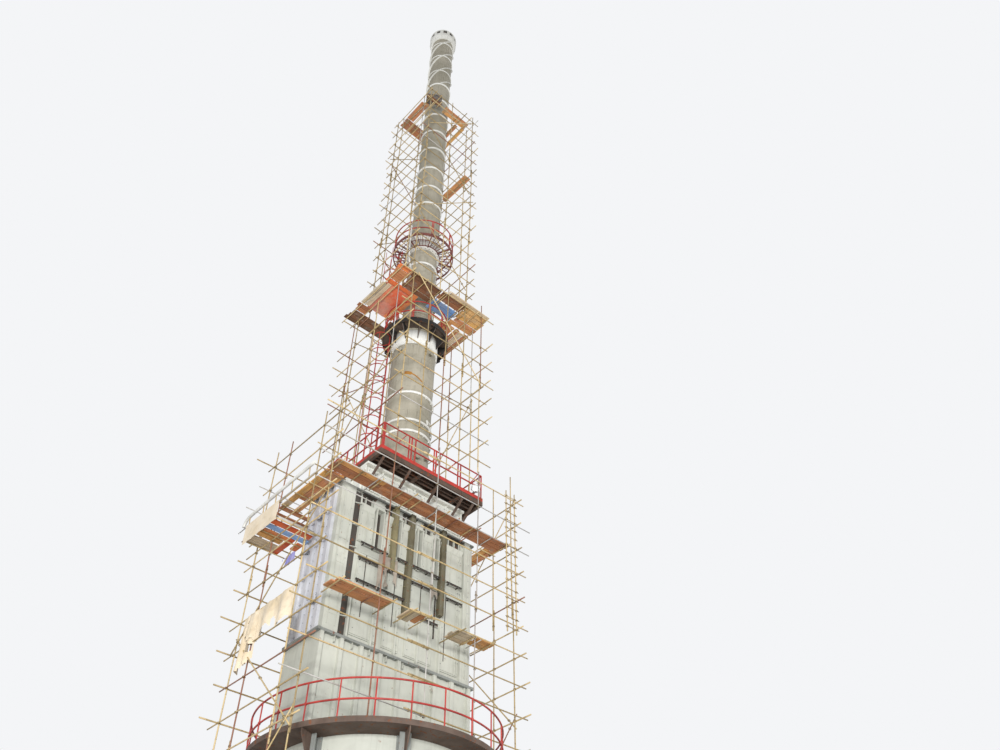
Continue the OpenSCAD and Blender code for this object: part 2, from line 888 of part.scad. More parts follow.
module tower_front() {
    color(straw)
    translate([0, -side_y, 0]) {
        tower_long();
        ledger(-mid_left - pole_over / 2, mid_right + pole_over / 2, -lash, mid_level);
    }
}

module tower_back() {
    color(straw)
    rotate(180)
        translate([0, -side_y, 0]) {
            tower_long();
            ledger(-mid_right - pole_over / 2, mid_left + pole_over / 2, -lash, mid_level);
        }
}

// A short side stands on the ground, clear of the ring platform
module short_side(top) {
    inner = side_y - pole_d - 2;
    reach = side_y + pole_over;
    first = 400;
    lattice([-inner, -side_y / 2, side_y / 2, inner], 0, top,
        [for (k = [0:wide_levels]) level(k) - lower_step], -reach, reach);
    for (z = [first:2 * lift_h:level(0) - lift_h])
        ledger(-reach, reach, -lash, z);
}

module scaffold_left() {
    color(straw)
    rotate(-90)
        translate([0, -base_left, 0]) {
            short_side(base_h - 300);
            ledger(-side_y - pole_over, side_y + pole_over, -lash, stage_z - lower_step);
        }
}

module scaffold_right() {
    color(straw)
    rotate(90)
        translate([0, -base_right, 0])
            short_side(base_h);
}

// A short side of the lower tower stands on the top platform
module tower_side() {
    reach = side_y + pole_over;
    first = ceil((deck_z + rail_h + 100 - level(0)) / lift_h);
    half = 680;
    lattice([-half, 0, half], deck_z + seat, mid_z - plank_t - seat,
        [for (k = [first:tower_levels]) level(k) - lower_step], -reach, reach);
}

module tower_left() {
    color(straw)
    rotate(-90)
        translate([0, -tower_x, 0])
            tower_side();
}

module tower_right() {
    color(straw)
    rotate(90)
        translate([0, -tower_x, 0])
            tower_side();
}

// The slim tower stands on the middle deck
module slim_side(xs, drop, z_top) {
    reach = slim_tower + pole_over * 0.7;
    count = floor((top_level - mid_z - 100) / lift_h);
    lattice(xs, mid_z + seat, z_top, [for (k = [0:count - 1]) top_level - drop - k * lift_h], -reach, reach);
}

module slim_front() {
    color(straw)
    translate([0, -slim_tower, 0])
        slim_side([-slim_tower, 0, slim_tower], 0, top_z + cross_over);
}

module slim_back() {
    color(straw)
    rotate(180)
        translate([0, -slim_tower, 0])
            slim_side([-slim_tower, 0, slim_tower], 0, top_z + cross_over);
}

module slim_left() {
    color(straw)
    rotate(-90)
        translate([0, -slim_tower - pole_d / 2 - 1, 0])
            slim_side([-slim_tower * 0.62, slim_tower * 0.62], lower_step, top_level);
}

module slim_right() {
    color(straw)
    rotate(90)
        translate([0, -slim_tower - pole_d / 2 - 1, 0])
            slim_side([-slim_tower * 0.62, slim_tower * 0.62], lower_step, top_level);
}

// One short cross pole along Y under a deck
module cross_pole(x, y0, y1, z) {
    translate([x, y0, z])
        rotate([-90, 0, 0])
            cylinder(d = pole_d, h = y1 - y0, $fn = 6);
}

// A plank strip on short cross poles that lie on the ledger of a long side
module plank_strip(x0, x1, k, poles) {
    z = level(k) + flat + seat;
    inner = -box_d / 2 - column_out - 8;
    inset = 60;
    translate([x0, -plank_y, z + flat / 2 - bite])
        cube([x1 - x0, walk_w, plank_t]);
    for (i = [0:poles - 1])
        cross_pole(x0 + inset + (x1 - x0 - 2 * inset) * i / (poles - 1), -side_y - cross_over, inner, z);
}

// Plank walkways in front of the bolted flange
module flange_deck() {
    color(plank)
    for (part = [[-1620, -600], [-340, 60], [560, 1300]])
        plank_strip(part[0], part[1], 3, 2);
}

// Plank walkway round the top of the casing, open where the ladder passes
module casing_deck() {
    left = base_left - pole_d * 2;
    right = base_right - pole_d * 2;
    z = level(7) + flat * 1.5 + seat - bite;
    end_gap = box_w / 2 + rib_out + 20;
    hatch = 440;
    color(plank)
    difference() {
        union() {
            plank_strip(-left, right, 7, 6);
            rotate(180)
                plank_strip(-right, left, 7, 6);
            translate([-left, -plank_y, z])
                cube([left - end_gap - box_shift, 2 * plank_y, plank_t]);
            translate([end_gap - box_shift, -plank_y, z])
                cube([right - end_gap + box_shift, 2 * plank_y, plank_t]);
        }
        translate([ladder_x - hatch / 2, box_d / 2 + flange_out - 20, z - 2 * pole_d])
            cube([hatch, side_y, 4 * pole_d]);
    }
}

// Planks round the stack on the lower tower; the left part is left open for the tarpaulin
module mid_deck() {
    hole = slim_r + 70;
    hatch_w = 2 * cage_r + 40;
    hatch_reach = low_r + 2 * cage_r + 40;
    z = mid_z - plank_t;
    pole_z = z + bite - flat / 2;
    short = 564;
    color(plank) {
        difference() {
            translate([-mid_left, -plank_y, z])
                cube([mid_left + mid_right, 2 * plank_y, plank_t]);
            translate([-hole, -hole, z - 1])
                cube([2 * hole, 2 * hole, plank_t + 2]);
            rotate(ladder_turn)
                translate([-hatch_w / 2, 0, z - 1])
                    cube([hatch_w, hatch_reach, plank_t + 2]);
            translate([tarp_left, tarp_front, z - 1])
                cube([tarp_w, tarp_d, plank_t + 2]);
        }
        for (x = [50 - mid_left, -920, 780, mid_right - 50])
            cross_pole(x, -side_y - cross_over, side_y + cross_over, pole_z);
        cross_pole(tarp_left + tarp_w - 50, -side_y - cross_over, 0, pole_z);
        for (side = [0, 1])
            for (x = [-500 * side - 20 * side, 0, 500])
                mirror([0, side, 0])
                    cross_pole(x, -side_y - cross_over, -short, pole_z);
    }
}

// Orange sheet laid over the open part of the middle deck
module mid_tarp() {
    edge = 2;
    color("#e0784a")
    translate([tarp_left + edge, tarp_front + edge, mid_z - plank_t + bite + seat])
        cube([tarp_w - 2 * edge, tarp_d - 2 * edge, sheet_t]);
}

// Planks round the stack at the head of the slim tower
module top_deck() {
    out = slim_tower - pole_d / 2 - plank_gap;
    hole = slim_r + 70;
    z = top_z - plank_t;
    color(plank) {
        difference() {
            translate([-out, -out, z])
                cube([2 * out, 2 * out, plank_t]);
            translate([-hole, -hole, z - 1])
                cube([2 * hole, 2 * hole, plank_t + 2]);
        }
        for (x = [-600, -420, 420, 600])
            cross_pole(x, -slim_tower - cross_over, slim_tower + cross_over, z + bite - flat / 2);
    }
}

// A stage beside the left end, with two poles laid along its outer edge
module side_stage() {
    x1 = -box_w / 2 - box_shift - rib_out - 15;
    board_w = 320;
    cross_w = 130;
    color(plank) {
        for (y = [-30, 400, 830])
            translate([stage_x, y, stage_z])
                rotate([0, 90, 0])
                    rotate(30)
                        cylinder(d = pole_d, h = x1 - stage_x, $fn = 6);
        for (y = [-50, 530])
            translate([stage_x + 2 * pole_d, y, stage_z + flat / 2 - bite])
                cube([x1 - stage_x - 2 * pole_d, board_w, plank_t]);
        translate([x1 - cross_w - 80, 260, stage_z + flat / 2 - bite])
            cube([cross_w, 280, plank_t]);
        cross_pole(stage_x + pole_d, -cross_over, 800 + cross_over, stage_z + flat + seat);
        cross_pole(stage_x + pole_d, -side_y - cross_over, side_y + cross_over, level(6) + flat + seat);
    }
}

// A cream sheet that hangs from the upper pole of the stage
module side_sheet() {
    hem = 40;
    width = 880;
    color("#ddd6c4")
    translate([stage_x + pole_d / 2 - seat - sheet_t, -60, stage_z - hem])
        cube([sheet_t, width, level(6) + flat * 1.5 - stage_z + hem]);
}

// A torn sheet that hangs from the left side of the base scaffold
module torn_sheet() {
    top = level(3) - lower_step + flat / 2;
    color("#ddd6c4")
    translate([-base_left - lash - pole_d / 2 - seat - sheet_t, -430, top - torn_h])
        cube([sheet_t, torn_w, torn_h]);
}

// A ladder of thin poles, lashed to the ledgers of the front side
module pole_ladder() {
    end = 150;
    z0 = level(4) - end;
    z1 = level(9) + end;
    half = 100;
    rung = 130;
    step = 170;
    color(straw)
    translate([base_right - ladder_half, -side_y - lash - pole_d / 2 - seat - flat / 2, 0]) {
        for (side = [-1, 1])
            standard(side * half, 0, z0, z1);
        for (z = [z0 + 80:step:z1 - 60])
            ledger(-rung, rung, 0, z);
    }
}

module drum() {
    color(dull_grey)
    translate([-450, -470, top_z + drum_r + seat])
        rotate([0, 90, -35])
            cylinder(r = drum_r, h = drum_l, center = true, $fn = 32);
}

columns();
firebox_floor();
burners();
firebox_shell();
firebox_roof();
ring_platform();
ring_handrail();
ring_ladder();
lower_casing();
bolted_flange();
casing_front();
casing_back();
casing_left();
casing_right();
corner_posts();
casing_roof();
hood();
top_platform();
top_handrail();
lower_stack();
stack_cone();
round_platform();
round_handrail();
middle_stack();
stack_joint();
joint_platform();
joint_handrail();
upper_stack();
top_stack();
strakes();
crown();
box_ladder();
stack_ladder();
slim_ladder();
scaffold_front();
scaffold_back();
scaffold_left();
scaffold_right();
tower_front();
tower_back();
tower_left();
tower_right();
slim_front();
slim_back();
slim_left();
slim_right();
flange_deck();
casing_deck();
mid_deck();
mid_tarp();
top_deck();
side_stage();
side_sheet();
torn_sheet();
pole_ladder();
drum();
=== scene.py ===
"""Looks of a process fired heater with its stack and its bamboo scaffold, as a 1:2 model."""
import logging
import math
import random
from dataclasses import dataclass
from enum import Enum
from typing import Iterator, Optional, Sequence, Union

import bmesh
import bpy
import numpy as np
from mathutils import Matrix, Vector


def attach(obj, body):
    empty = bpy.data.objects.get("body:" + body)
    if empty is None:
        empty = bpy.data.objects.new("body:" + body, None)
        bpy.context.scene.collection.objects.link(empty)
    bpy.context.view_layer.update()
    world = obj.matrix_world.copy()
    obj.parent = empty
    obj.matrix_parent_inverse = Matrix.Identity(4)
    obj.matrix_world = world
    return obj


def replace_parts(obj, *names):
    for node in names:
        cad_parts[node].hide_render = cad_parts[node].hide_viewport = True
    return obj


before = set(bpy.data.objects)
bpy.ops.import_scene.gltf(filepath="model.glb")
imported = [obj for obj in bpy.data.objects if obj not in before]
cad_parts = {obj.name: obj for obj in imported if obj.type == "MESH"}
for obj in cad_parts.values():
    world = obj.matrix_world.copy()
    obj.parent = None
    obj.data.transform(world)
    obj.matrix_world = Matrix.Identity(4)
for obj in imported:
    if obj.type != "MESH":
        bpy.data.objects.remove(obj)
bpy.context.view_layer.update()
LOG = logging.getLogger("fired_heater")

REAL_MM = 0.0005          # metres of this 1:2 model for one real millimetre
BODY = "root"
CLEAR = 0.0004            # gap between a laid piece and what carries it
POLE_R = 0.011            # usual radius of a scaffold pole
POLE_D = 2 * POLE_R
FIRST_LEDGER = 5.8203     # height of the first ledger above the firebox roof
LIFT = 0.49               # height between two ledgers
BOARD_T = 0.022           # thickness of a scaffold board
WAVE_METRE = 0.314        # scale at which a wave texture repeats once a metre
KNEE_RAIL = 0.275         # height of a knee rail above its floor
TINY = 1e-9               # keeps a division by a length from failing
STEEP = 0.9               # share of one axis from which a direction counts as along it
AXIS_X, AXIS_Y, AXIS_Z = np.eye(3)

Finding = Union[str, bpy.types.NodeSocket]


class Axis(Enum):
    """The two level directions of the model, by the number of their coordinate."""

    X = 0
    Y = 1

    @property
    def vector(self) -> np.ndarray:
        """The direction as an array."""
        return np.eye(3)[self.value]


class Hold(Enum):
    """How a sheet of cloth is carried: by its top edge or by all four edges."""

    HUNG = "hung"
    STRETCHED = "stretched"


def point(x: float, y: float, z: float) -> np.ndarray:
    """A point or direction in metres."""
    return np.array([x, y, z], float)


def unit(vector: np.ndarray) -> np.ndarray:
    """The same direction with length one."""
    return vector / max(float(np.linalg.norm(vector)), TINY)


def heading(degrees: float) -> np.ndarray:
    """The level direction at that turn from X."""
    angle = math.radians(degrees)
    return point(math.cos(angle), math.sin(angle), 0)


def around(count: int, first: float = 0.0) -> Iterator[tuple[np.ndarray, np.ndarray]]:
    """Level directions outward and sideways at even turns, the first at so many degrees from X."""
    for number in range(count):
        turn = first + 360 * number / count
        yield heading(turn), heading(turn + 90)


def circle(first: np.ndarray, second: np.ndarray, sides: int) -> np.ndarray:
    """Points at even turns of the ellipse that two half widths span."""
    angles = np.linspace(0, 2 * math.pi, sides, endpoint=False)
    return np.outer(np.cos(angles), first) + np.outer(np.sin(angles), second)


def link(name: str, data: bpy.types.ID) -> bpy.types.Object:
    """A new object with that data, in the scene."""
    obj = bpy.data.objects.new(name, data)
    bpy.context.scene.collection.objects.link(obj)
    return obj


def keep_grain(mesh: bpy.types.Mesh, places: np.ndarray) -> None:
    """Keeps for each point its place along, round and between poles, boards or threads."""
    layer = mesh.attributes.new("grain", "FLOAT_VECTOR", "POINT")
    layer.data.foreach_set("vector", places.astype(np.float32).ravel())


def ledger_height(number: int) -> float:
    """Height of a ledger of the long sides, counted from the firebox roof."""
    return FIRST_LEDGER + number * LIFT


def cross_height(deck_top: float) -> float:
    """Height of the axis of the cross poles under a deck with that top."""
    return deck_top - BOARD_T - CLEAR - POLE_R


def linear(colour: str) -> tuple[float, float, float, float]:
    """Turns an sRGB hex colour into linear RGBA.

    Args:
        colour: Six hex digits after a hash sign.

    Returns:
        The colour as Blender's sockets take it.
    """
    parts = [int(colour[i:i + 2], 16) / 255 for i in (1, 3, 5)]
    values = [c / 12.92 if c <= 0.04045 else ((c + 0.055) / 1.055) ** 2.4 for c in parts]
    return (values[0], values[1], values[2], 1.0)


def add_node(tree: bpy.types.NodeTree, kind: str, settings: Optional[dict] = None,
             links: Optional[dict] = None) -> bpy.types.Node:
    """Adds a node to a tree, sets it up and links its inputs.

    Args:
        tree: The material's or world's node tree.
        kind: Blender's name of the node type.
        settings: Values by property name, input name or input number.
        links: Output sockets by input name or number.

    Returns:
        The new node.
    """
    node = tree.nodes.new(kind)
    for key, value in (settings or {}).items():
        if isinstance(key, str) and hasattr(node, key):
            setattr(node, key, value)
        else:
            node.inputs[key].default_value = value
    for key, source in (links or {}).items():
        tree.links.new(source, node.inputs[key])
    return node


class MaterialGraph:
    """The node tree of one material, with the patterns that the finishes share."""

    def __init__(self, name: str) -> None:
        """Starts an empty material of that name."""
        self.material = bpy.data.materials.new(name)
        self.material.use_nodes = True
        self.tree = self.material.node_tree
        self.tree.nodes.clear()
        self.place = add_node(self.tree, "ShaderNodeTexCoord").outputs["Object"]

    def trait(self, name: str) -> bpy.types.NodeSocket:
        """A number that the mesh keeps at each point."""
        return add_node(self.tree, "ShaderNodeAttribute", {"attribute_name": name}).outputs["Fac"]

    def grain(self) -> bpy.types.NodeSocket:
        """Place along, round and between poles, boards or threads, in metres."""
        node = add_node(self.tree, "ShaderNodeAttribute", {"attribute_name": "grain"})
        return node.outputs["Vector"]

    def patches(self, size_mm: float, low: float, high: float, stretch: tuple = (1, 1, 1),
                top: float = 1.0, detail: float = 4.0, shift: float = 0.0,
                source: Optional[bpy.types.NodeSocket] = None) -> bpy.types.NodeSocket:
        """Irregular patches that rise from 0 to top where the noise passes from low to high.

        Args:
            size_mm: Real size of a patch in millimetres.
            low: Noise value at which a patch starts.
            high: Noise value at which it is full.
            stretch: How much longer than size_mm a patch is along X, Y and Z.
            top: Strength inside a patch.
            detail: Detail of the noise.
            shift: Moves the pattern, so that two of them differ.
            source: Coordinates, or None for the place on the object.

        Returns:
            The socket with the strength.
        """
        metres = size_mm * REAL_MM
        spread = [1.0 / (metres * s) for s in stretch]
        mapped = add_node(self.tree, "ShaderNodeMapping",
                          {"Scale": spread, "Location": (shift, shift, shift)},
                          {"Vector": source or self.place})
        noise = add_node(self.tree, "ShaderNodeTexNoise", {"Scale": 1.0, "Detail": detail},
                         {"Vector": mapped.outputs[0]})
        ramp = add_node(self.tree, "ShaderNodeMapRange",
                        {"From Min": low, "From Max": high, "To Max": top}, {"Value": noise.outputs[0]})
        return ramp.outputs[0]

    def weigh(self, operation: str, first: bpy.types.NodeSocket,
              second: Union[float, bpy.types.NodeSocket]) -> bpy.types.NodeSocket:
        """One sum or product of a socket with a number or another socket."""
        linked = isinstance(second, bpy.types.NodeSocket)
        node = add_node(self.tree, "ShaderNodeMath",
                        {"operation": operation} if linked else {"operation": operation, 1: second},
                        {0: first, 1: second} if linked else {0: first})
        return node.outputs[0]

    def blend(self, mask: bpy.types.NodeSocket, below: Finding, above: Finding) -> bpy.types.NodeSocket:
        """Goes from the colour below to the colour above where the mask is 1."""
        settings: dict = {"data_type": "RGBA"}
        links: dict = {0: mask}
        for number, colour in ((6, below), (7, above)):
            if isinstance(colour, str):
                settings[number] = linear(colour)
            else:
                links[number] = colour
        return add_node(self.tree, "ShaderNodeMix", settings, links).outputs[2]

    def ramp(self, mask: bpy.types.NodeSocket, stops: Sequence[tuple[float, str]]) -> bpy.types.NodeSocket:
        """A row of colours, each at its own value of the mask."""
        node = add_node(self.tree, "ShaderNodeValToRGB", {}, {0: mask})
        elements = node.color_ramp.elements
        while len(elements) < len(stops):
            elements.new(0.5)
        for element, (place, colour) in zip(elements, stops):
            element.position = place
            element.color = linear(colour)
        return node.outputs[0]

    def relief(self, height: bpy.types.NodeSocket, depth_mm: float,
               normal: Optional[bpy.types.NodeSocket] = None) -> bpy.types.NodeSocket:
        """Bump of a stated real depth in millimetres, on top of another bump."""
        node = add_node(self.tree, "ShaderNodeBump", {"Strength": 0.9, "Distance": depth_mm * REAL_MM},
                        {"Height": height, **({"Normal": normal} if normal else {})})
        return node.outputs[0]

    def close(self, settings: dict, links: dict) -> bpy.types.Material:
        """Adds the shader and the output, and returns the material."""
        shader = add_node(self.tree, "ShaderNodeBsdfPrincipled", settings, links)
        add_node(self.tree, "ShaderNodeOutputMaterial", {}, {"Surface": shader.outputs[0]})
        return self.material


class Finish:
    """A finish makes its material once and hands out the same one after that."""

    name: str

    def build(self) -> bpy.types.Material:
        """Makes the material."""
        raise NotImplementedError

    def material(self) -> bpy.types.Material:
        """The material of that name, made when it is first asked for."""
        return bpy.data.materials.get(self.name) or self.build()

    def dress(self, *nodes: str) -> None:
        """Gives the finish to every slot of some CAD nodes."""
        for node in nodes:
            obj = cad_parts[node]
            if not obj.material_slots:
                obj.data.materials.append(None)
            for slot in obj.material_slots:
                slot.material = self.material()


@dataclass(frozen=True)
class WeatheredPaint(Finish):
    """Brushed paint on steel plate that stood outdoors.

    The eye sees a matt, slightly uneven coat, thin dirt runs below each edge and small blooms of rust.
    """

    name: str
    colour: str
    shade: str
    run: str = "#6f6a5e"
    rust: str = "#7a4526"
    run_share: float = 0.45
    rust_share: float = 0.7
    rust_from: float = 0.66
    smudge: float = 0.35
    roughness: float = 0.6
    plate_mm: float = 1900.0
    edge_colour: Optional[str] = None
    edge_height: float = 0.0

    def build(self) -> bpy.types.Material:
        """Lays coat, dirt, runs and rust over each other."""
        g = MaterialGraph(self.name)
        colour = g.blend(g.patches(self.plate_mm, 0.38, 0.62), self.colour, self.shade)
        if self.edge_colour:
            spot = add_node(g.tree, "ShaderNodeSeparateXYZ", {}, {0: g.place}).outputs["Z"]
            facing = add_node(g.tree, "ShaderNodeNewGeometry").outputs["Normal"]
            upward = add_node(g.tree, "ShaderNodeSeparateXYZ", {}, {0: facing}).outputs["Z"]
            steep = g.weigh("LESS_THAN", g.weigh("ABSOLUTE", upward, 0.0), 0.5)
            high = g.weigh("GREATER_THAN", spot, self.edge_height)
            colour = g.blend(g.weigh("MULTIPLY", steep, high), colour, self.edge_colour)
        colour = g.blend(g.patches(260, 0.5, 0.72, top=self.smudge, shift=7), colour, self.run)
        runs = g.patches(70, 0.5, 0.7, (1, 1, 22), self.run_share, shift=3)
        gate = g.patches(1300, 0.4, 0.62, shift=11)
        colour = g.blend(g.weigh("MULTIPLY", runs, gate), colour, self.run)
        blooms = g.patches(120, self.rust_from, self.rust_from + 0.05, top=self.rust_share, detail=9, shift=5)
        colour = g.blend(blooms, colour, self.rust)
        rough = g.weigh("ADD", g.weigh("MULTIPLY", blooms, 0.3), self.roughness)
        waves = g.relief(g.patches(650, 0.2, 0.8, detail=1), 7)
        normal = g.relief(g.patches(26, 0.2, 0.8, detail=3), 0.9, waves)
        return g.close({"Specular IOR Level": 0.4},
                       {"Base Color": colour, "Roughness": rough, "Normal": normal})


@dataclass(frozen=True)
class Bamboo(Finish):
    """Dry bamboo culms, sawn to length and sun bleached.

    The eye sees a satin straw skin with fine fibres, a dark line at each joint and some poles that are
    greener, redder or replaced by grey steel tube.
    """

    name: str = "dry_bamboo_culm"
    stops: tuple = ((0.0, "#66583f"), (0.2, "#8d7b56"), (0.45, "#b39b6c"), (0.7, "#d2bb8b"),
                    (0.86, "#946450"), (0.93, "#7a4b3b"), (1.0, "#c6c4c0"))

    def build(self) -> bpy.types.Material:
        """Colours each pole by its tone, with fibres along it."""
        g = MaterialGraph(self.name)
        colour = g.ramp(g.trait("tone"), self.stops)
        grain = g.grain()
        fibres = g.patches(9, 0.35, 0.75, (60, 1, 1), 0.4, source=grain)
        colour = g.blend(fibres, colour, "#7a6238")
        mould = g.patches(160, 0.56, 0.74, (3, 1, 1), 0.45, source=grain, shift=4)
        colour = g.blend(mould, colour, "#5d5a3c")
        colour = g.blend(g.weigh("MULTIPLY", g.trait("ring"), 0.75), colour, "#4b3b22")
        rough = g.weigh("ADD", g.weigh("MULTIPLY", fibres, 0.35), 0.42)
        return g.close({"Specular IOR Level": 0.45, "Coat Weight": 0.12, "Coat Roughness": 0.35},
                       {"Base Color": colour, "Roughness": rough, "Normal": g.relief(fibres, 0.5)})


@dataclass(frozen=True)
class SawnTimber(Finish):
    """Rough sawn softwood scaffold boards with mortar and mud trodden in.

    The eye sees long grain, knots, saw marks across it and a different brown on each board.
    """

    name: str = "rough_sawn_board"
    stops: tuple = ((0.0, "#5e4734"), (0.25, "#946448"), (0.5, "#c08058"), (0.7, "#dc9a6c"),
                    (0.85, "#ecb566"), (1.0, "#dccfb6"))
    vein: str = "#5a3a24"
    vein_share: float = 0.5

    def build(self) -> bpy.types.Material:
        """Colours each board by its tone, with grain along it."""
        g = MaterialGraph(self.name)
        grain = g.grain()
        colour = g.ramp(g.trait("tone"), self.stops)
        lines = g.patches(11, 0.32, 0.7, (70, 1, 1), self.vein_share, detail=6, source=grain)
        colour = g.blend(lines, colour, self.vein)
        knots = g.patches(60, 0.7, 0.76, (1.6, 1, 1), 0.8, detail=2, source=grain, shift=9)
        colour = g.blend(knots, colour, "#3d2719")
        dirt = g.patches(300, 0.52, 0.7, top=0.5, detail=7, shift=2)
        colour = g.blend(dirt, colour, "#8d857a")
        saw = g.patches(5, 0.3, 0.7, (1, 12, 12), source=grain, shift=6)
        normal = g.relief(saw, 0.7, g.relief(lines, 1.4))
        rough = g.weigh("ADD", g.weigh("MULTIPLY", lines, 0.12), 0.74)
        return g.close({"Specular IOR Level": 0.3},
                       {"Base Color": colour, "Roughness": rough, "Normal": normal})


@dataclass(frozen=True)
class WovenPlastic(Finish):
    """Polythene tarpaulin woven from flat tapes.

    The eye sees a soft sheen, a faint square weave and dusty creases. The tapes are 3 mm on the real sheet
    and are drawn 14 mm wide, because finer ones would not show.
    """

    name: str
    colour: str
    faded: str
    dust: str = "#b6ab98"
    tape_mm: float = 14.0

    def build(self) -> bpy.types.Material:
        """Weaves two sets of bands over a faded colour."""
        g = MaterialGraph(self.name)
        grain = g.grain()
        colour = g.blend(g.patches(700, 0.4, 0.62, source=grain), self.colour, self.faded)
        dust = g.patches(220, 0.52, 0.74, top=0.55, detail=7, source=grain, shift=3)
        colour = g.blend(dust, colour, self.dust)
        scale = WAVE_METRE / (self.tape_mm * REAL_MM)
        bands = [add_node(g.tree, "ShaderNodeTexWave",
                          {"bands_direction": way, "Scale": scale, "Distortion": 0.4},
                          {"Vector": grain}).outputs["Fac"] for way in ("X", "Y")]
        weave = g.weigh("MULTIPLY", bands[0], bands[1])
        colour = g.blend(g.weigh("MULTIPLY", weave, 0.22), colour, self.dust)
        normal = g.relief(weave, 0.6, g.relief(g.patches(90, 0.3, 0.7, detail=6, source=grain), 5))
        return g.close({"Roughness": 0.5, "Specular IOR Level": 0.4, "Sheen Weight": 0.15,
                        "Sheen Roughness": 0.5}, {"Base Color": colour, "Normal": normal})


@dataclass(frozen=True)
class RoughMetal(Finish):
    """Bare or galvanised metal, as dipped or cast. The eye sees a dull grain and grey blotches."""

    name: str
    colour: str
    blotch: str
    metallic: float
    roughness: float
    grain_mm: float

    def build(self) -> bpy.types.Material:
        """Mixes two greys in grains of a stated size."""
        g = MaterialGraph(self.name)
        grains = g.patches(self.grain_mm, 0.35, 0.65, detail=2)
        colour = g.blend(grains, self.colour, self.blotch)
        colour = g.blend(g.patches(200, 0.6, 0.72, top=0.6, detail=8, shift=4), colour, "#6b4a35")
        rough = g.weigh("ADD", g.weigh("MULTIPLY", grains, 0.2), self.roughness)
        return g.close({"Metallic": self.metallic}, {"Base Color": colour, "Roughness": rough,
                                                     "Normal": g.relief(grains, 0.8)})


@dataclass(frozen=True)
class SplitCane(Finish):
    """Black plastic and cane ties, wound wet. The eye sees thin dark strips with a dull shine."""

    name: str = "lashing_strip"

    def build(self) -> bpy.types.Material:
        """Dark strips with paler scuffs."""
        g = MaterialGraph(self.name)
        scuffs = g.patches(14, 0.45, 0.7, (3, 1, 1), source=g.grain())
        return g.close({"Roughness": 0.55}, {"Base Color": g.blend(scuffs, "#7d6a48", "#b09c70"),
                                             "Normal": g.relief(scuffs, 0.8)})


@dataclass(frozen=True)
class ClearGlass(Finish):
    """Pressed glass of a lamp. The eye sees ribs and a pale reflection."""

    name: str = "pressed_lamp_glass"

    def build(self) -> bpy.types.Material:
        """Pale ribbed glass that is backed by a reflector, so it isn't seen through."""
        g = MaterialGraph(self.name)
        ribs = add_node(g.tree, "ShaderNodeTexWave", {"Scale": WAVE_METRE / (24 * REAL_MM)},
                        {"Vector": g.place})
        # Lighter and darker stripes along the ribs are painted glints, and the pale colour is a painted
        # reflection of the reflector behind.
        colour = g.blend(ribs.outputs["Fac"], "#dfe6ea", "#f6f8f8")
        return g.close({"Roughness": 0.12, "Coat Weight": 0.6},
                       {"Base Color": colour, "Normal": g.relief(ribs.outputs["Fac"], 1.5)})


CASING_PAINT = WeatheredPaint("brushed_heat_resisting_paint", "#bfc0b5", "#aeb0a6", "#77756a", run_share=0.24,
                              rust_share=0.5, rust_from=0.69, smudge=0.14)
END_PAINT = WeatheredPaint("brushed_lilac_grey_paint", "#cbccd0", "#b7b8be", "#807d80", run_share=0.2,
                           rust_share=0.4, rust_from=0.7, smudge=0.14)
HOOD_PAINT = WeatheredPaint("brushed_white_plate_paint", "#dfe0d8", "#cfd1c8", "#85827a", run_share=0.24,
                            smudge=0.14)
# Aluminium paint drawn darker than its own colour: painted shade for the lesser light that reaches the tall
# stack.
SHADE_DARKENED_STACK_PAINT = WeatheredPaint("aluminium_paint_darkened_as_shade", "#a9a393", "#938e7e", "#6a6556", rust_from=0.7)
RING_PAINT = WeatheredPaint("brushed_white_ring_paint", "#ecece7", "#dad9d2", "#98948a", rust_from=0.7,
                            run_share=0.25, smudge=0.2)
OCHRE_PRIMER = WeatheredPaint("ochre_chromate_primer", "#a9762f", "#8b6029", "#5d4322", rust_from=0.6)
GREY_PAINT = WeatheredPaint("brushed_grey_steel_paint", "#8d908b", "#7c7f7b", "#55524a")
RED_ENAMEL = WeatheredPaint("chalked_red_enamel", "#b23a31", "#97302b", "#5d2723", run_share=0.25,
                            rust_from=0.68, roughness=0.5, plate_mm=420)
DECK_PRIMER = WeatheredPaint("brown_primer_with_red_kerb", "#4a3b32", "#5b4a3e", "#2f2722", rust_from=0.6,
                             roughness=0.72, plate_mm=500, edge_colour="#b0362e", edge_height=10.078)
RING_PRIMER = WeatheredPaint("brown_primer", "#54443a", "#64544a", "#332a25", rust_from=0.6,
                             roughness=0.72, plate_mm=500)
RUST_PRIMER = WeatheredPaint("red_brown_primer", "#7c4a42", "#6b403a", "#43302b", rust_from=0.62,
                             roughness=0.7, plate_mm=400)
BLACK_BAND = WeatheredPaint("brown_primer_with_black_band", "#64554b", "#51453b", "#352c27", rust_from=0.64,
                            roughness=0.72, plate_mm=500, edge_colour="#1f1d1c", edge_height=13.0)
DARK_OLIVE_PAINT = WeatheredPaint("brushed_dark_olive_paint", "#6d6752", "#5c5744", "#3b352b", rust_from=0.62)
OLIVE_PAINT = WeatheredPaint("brushed_olive_column_paint", "#8a8262", "#776f55", "#4d4335", rust_from=0.62)
